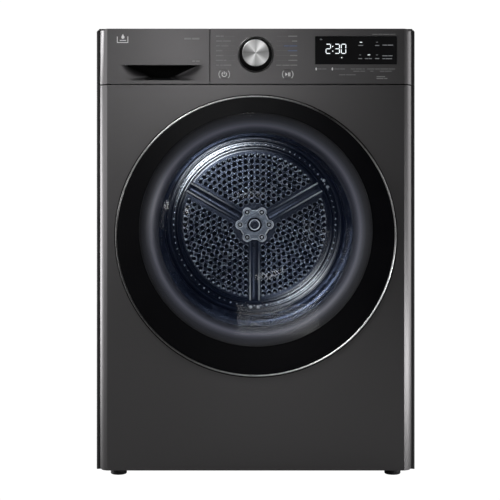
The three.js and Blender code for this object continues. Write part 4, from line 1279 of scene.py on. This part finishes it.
def make_button_signs():
    for node, at in (("power_button", POWER), ("start_button", START)):
        brackets = [arc(0, 0, 9.4, 10.8, side - 44, side + 44, 14) for side in (0, 180)]
        print_on(node + "_brackets", brackets, "control_panel", "print_bright", at)
    power = [arc(0, 0, 3.5, 5, 125, 415, 24), bar(-0.75, 0.75, 0, 5.4)]
    print_on("power_sign", power, "power_button", "print_bright", POWER, BUTTON_FACE)
    start = [[(-4.6, -3.6), (-0.2, 0), (-4.6, 3.6)]] + [bar(x, x + 1.5, -3.6, 3.6) for x in (0.9, 3.3)]
    print_on("start_sign", start, "start_button", "print_bright", START, BUTTON_FACE)


def digit(x, z, figure):
    """A seven-segment figure whose lower left corner is at x and z, in mm."""
    lying = {"a": (0, 2 * DIGIT_HALF), "g": (0, DIGIT_HALF), "d": (0, 0)}
    upright = {"f": (0, DIGIT_HALF), "b": (DIGIT_WIDTH, DIGIT_HALF), "e": (0, 0), "c": (DIGIT_WIDTH, 0)}
    gap, half = STROKE * 0.3, STROKE / 2
    made = []
    for name in SEGMENTS[figure]:
        end = (DIGIT_WIDTH if name in lying else DIGIT_HALF) - gap
        stroke = [(gap, 0), (gap + half, half), (end - half, half)]
        stroke += [(end, 0), (end - half, -half), (gap + half, -half)]
        if name in lying:
            sx, sz = lying[name]
            made.append([(x + sx + along, z + sz + across) for along, across in stroke])
        else:
            sx, sz = upright[name]
            made.append([(x + sx + across, z + sz + along) for along, across in stroke])
    return made


def make_display():
    """The glass with its lit figures and dim signs; places are in mm from its lower left corner."""
    lo, hi = WINDOW
    outline = rounded(lo.x, hi.x, lo.z, hi.z, 1.2 * MM)
    glass = plate("display_glass", [outline], GLASS_FACE, FACE_Y + 2.4 * MM, 0.25 * MM)
    replace(glass, "display_window", sharp=40)
    lit = digit(20.4, 20.4, "2") + digit(37.2, 20.4, "3") + digit(49.2, 20.4, "0")
    lit += [circle(33.1, up, 1.1, 12) for up in (24.6, 33.4)]
    lit += [rounded(x, x + 5, z, z + 1.2, 0.55) for x, z in ((84, 40.8), (99, 17))]
    lit += [circle(50, 12.4, 1.2, 12)]
    print_on("display_lit", lit, "display_window", "lit", lo, GLASS_FACE)
    dim = [circle(x, 12.4, 0.4, 8) for x in (46.9, 52.9)]
    dim += [arc(11, 45, radius, radius + 0.7, 30, 150, 8) for radius in (0.8, 2.2)]
    for x, z, lengths in (
            (81.5, 35.4, (9,)), (113, 35.4, (8,)), (127, 36, (9, 10)), (81.5, 10.6, (7,)), (94, 10.6, (6, 6)),
            (113, 10.6, (8,)), (127, 15.8, (10, 8)), (127, 10.4, (5, 12))):
        dim += words(x, z, lengths, 1.3, 1)
    dim += [bar(x, x + 3.4, z, z + 1) for x, z in ((115, 41), (83, 17), (115, 17))]
    print_on("display_dim", dim, "display_window", "lit_dim", lo, GLASS_FACE)

    captions = []
    for x, z, lengths in (
            (4, -9, (8, 8)), (36, -9, (10, 9)), (67, -9, (8, 12, 4)), (98, -9, (14, 9, 14, 12)),
            (72, -13.2, (12, 9)), (104, -13.2, (6,)), (122, -13.2, (9, 12)), (45, -20, (12, 18)),
            (108, (hi.z - lo.z) / MM + 3.6, (10, 8, 12, 10))):
        captions += words(x, z, lengths, 1.5, 1.2)
    print_on("display_captions", captions, "control_panel", "print_dim", lo)
    corner = words(116, -23.6, (16,), 1.6) + words(116, -27, (13, 6), 1.6)
    print_on("corner_labels", corner, "control_panel", "print", lo)
    gems = [[(x, -5.6), (x + 1.7, -9), (x, -12.4), (x - 1.7, -9)] for x in (1.7, 32.4)]
    print_on("option_marks", gems, "control_panel", "print_bright", lo)


def make_tank_signs():
    """A drop over an open tank is the water sign, and plain bars stand for the labels at its right."""
    drop = [(0, 9)]
    for i in range(25):
        turn = math.radians(35 - 250 * i / 24)
        drop.append((3 * math.cos(turn), 2.6 + 3 * math.sin(turn)))
    half, wall, floor = 10, 1.3, -8
    tank = [bar(-half, half, floor, floor + wall)]
    tank += [bar(side * half - wall, side * half, floor, 4) for side in (-1, 1)]
    water = bar(-6, 6, -4, -4 + wall)
    sign_at = Vector((-251 * MM, 0, 829.5 * MM))
    print_on("water_sign", [drop, *tank, water], "tank_front", "print_bright", sign_at)
    labels = words(-135, 829.5, (13, 14), 3.2) + words(-120, 787, (6, 7), 2.6)
    print_on("tank_labels", labels, "tank_front", "print")


make_cabinet()
make_door()
make_drum()
make_dial()
make_buttons()
make_labels()
make_button_signs()
make_display()
make_tank_signs()


# ---- What the CAD already shapes well keeps its mesh and takes a finish ----

for node, obj in frame["nodes"].items():
    obj.data.materials.clear()
    obj.data.materials.append(LOOKS[SLOT_OF[node]])
    soften(obj, 0.4 * MM, 40)


# ---- Studio ----

WHITE = 1.05  # the floor and the backdrop, as the camera sees them
FLOOR_HALF = 12
COLD = (0.85, 0.92, 1.0)
CAMERA, LENS = (-0.0108, FACE_Y - 2.2, 0.43), 83.8


def seen_white(tree, plain, white, output):
    """The camera sees the white shader, and everything else the plain one."""
    mix, path = tree.nodes.new("ShaderNodeMixShader"), tree.nodes.new("ShaderNodeLightPath")
    tree.links.new(path.outputs["Is Camera Ray"], mix.inputs["Fac"])
    tree.links.new(plain.outputs[0], mix.inputs[1])
    tree.links.new(white.outputs[0], mix.inputs[2])
    tree.links.new(mix.outputs["Shader"], tree.nodes[output].inputs["Surface"])
    white.inputs["Color"].default_value = (1, 1, 1, 1)
    white.inputs["Strength"].default_value = WHITE


def make_floor():
    corners = bar(-FLOOR_HALF, FLOOR_HALF, -FLOOR_HALF, FLOOR_HALF)
    floor = solid("floor", [(x, y, 0) for x, y in corners], [(0, 1, 2, 3)])
    material = bpy.data.materials.new("pale_floor")
    material.use_nodes = True
    tree = material.node_tree
    shader = tree.nodes["Principled BSDF"]
    shader.inputs["Base Color"].default_value = (0.25, 0.25, 0.25, 1)
    shader.inputs["Roughness"].default_value = 0.9
    seen_white(tree, shader, tree.nodes.new("ShaderNodeEmission"), "Material Output")
    floor.data.materials.append(material)


def make_backdrop():
    world = bpy.data.worlds.new("studio")
    bpy.context.scene.world = world
    world.use_nodes = True
    ambient = world.node_tree.nodes["Background"]
    ambient.inputs["Color"].default_value = (0.92, 0.95, 1, 1)
    ambient.inputs["Strength"].default_value = 0.02
    backdrop = world.node_tree.nodes.new("ShaderNodeBackground")
    seen_white(world.node_tree, ambient, backdrop, "World Output")


def area_light(name, location, target, width, height, power, colour=(1, 1, 1)):
    data = bpy.data.lights.new(name, "AREA")
    data.shape, data.size, data.size_y = "RECTANGLE", width, height
    data.energy, data.color = power, colour
    obj = link(name, data)
    obj.location = location
    obj.rotation_euler = (Vector(target) - Vector(location)).to_track_quat("-Z", "Y").to_euler()


def make_lights():
    area_light("key", (-0.22, -2.9, 1.24), (-0.1, -0.3, 0.7), 0.45, 0.3, 5.3)
    area_light("key_low", (-1.05, -2.9, 0.55), (-0.3, -0.3, 0.6), 0.6, 0.5, 1.8)
    area_light("key_left", (-2.4, -1.6, 1.2), (-0.3, -0.3, 0.5), 1.2, 1.6, 16)
    area_light("low_front", (0.12, -2.9, 0.05), (0.05, -0.3, 0.2), 0.4, 0.2, 1.2)
    area_light("low_right", (2.0, -1.5, 0.1), (0.25, -0.3, 0.3), 0.8, 0.8, 7)
    area_light("left_strip", (-2.0, -0.1, 0.5), (-0.3, -0.3, 0.45), 1.5, 1.3, 10)
    area_light("left_far", (-2.0, 0.25, 0.45), (-0.3, -0.3, 0.45), 1.0, 1.2, 48)
    area_light("right_strip", (2.0, 0.0, 0.7), (0.3, -0.3, 0.45), 1.5, 1.6, 24)
    area_light("rim_left", (-1.2, -0.9, 2.1), (-0.15, -0.34, 0.65), 0.8, 0.8, 18)
    area_light("rim_right", (1.5, -0.8, 0.08), (0.2, -0.34, 0.3), 0.8, 0.15, 8)
    area_light("top", (0, 0.5, 3.2), (0, 0, 0.5), 2.5, 2.5, 38)
    area_light("back", (1.5, 3.2, 2.0), (0, 0.3, 0.5), 2.4, 2.0, 60)
    lamp, glow = (DRUM.x - 0.15, -0.1, DRUM.z + 0.18), (DRUM.x + 0.13, -0.13, DRUM.z - 0.19)
    area_light("drum_lamp", lamp, (DRUM.x + 0.02, DRUM_BACK, DRUM.z), 0.3, 0.08, 1.2, COLD)
    area_light("drum_glow", glow, (DRUM.x, DRUM_BACK, DRUM.z), 0.2, 0.08, 0.35, COLD)


def make_camera():
    data = bpy.data.cameras.new("camera")
    data.sensor_width, data.lens = 36, LENS
    data.clip_start, data.clip_end = 0.05, 60
    obj = link("camera", data)
    obj.location = CAMERA
    obj.rotation_euler = (math.radians(90), 0, 0)
    bpy.context.scene.camera = obj


make_floor()
make_backdrop()
make_lights()
make_camera()
bpy.context.scene.view_settings.view_transform = "Standard"
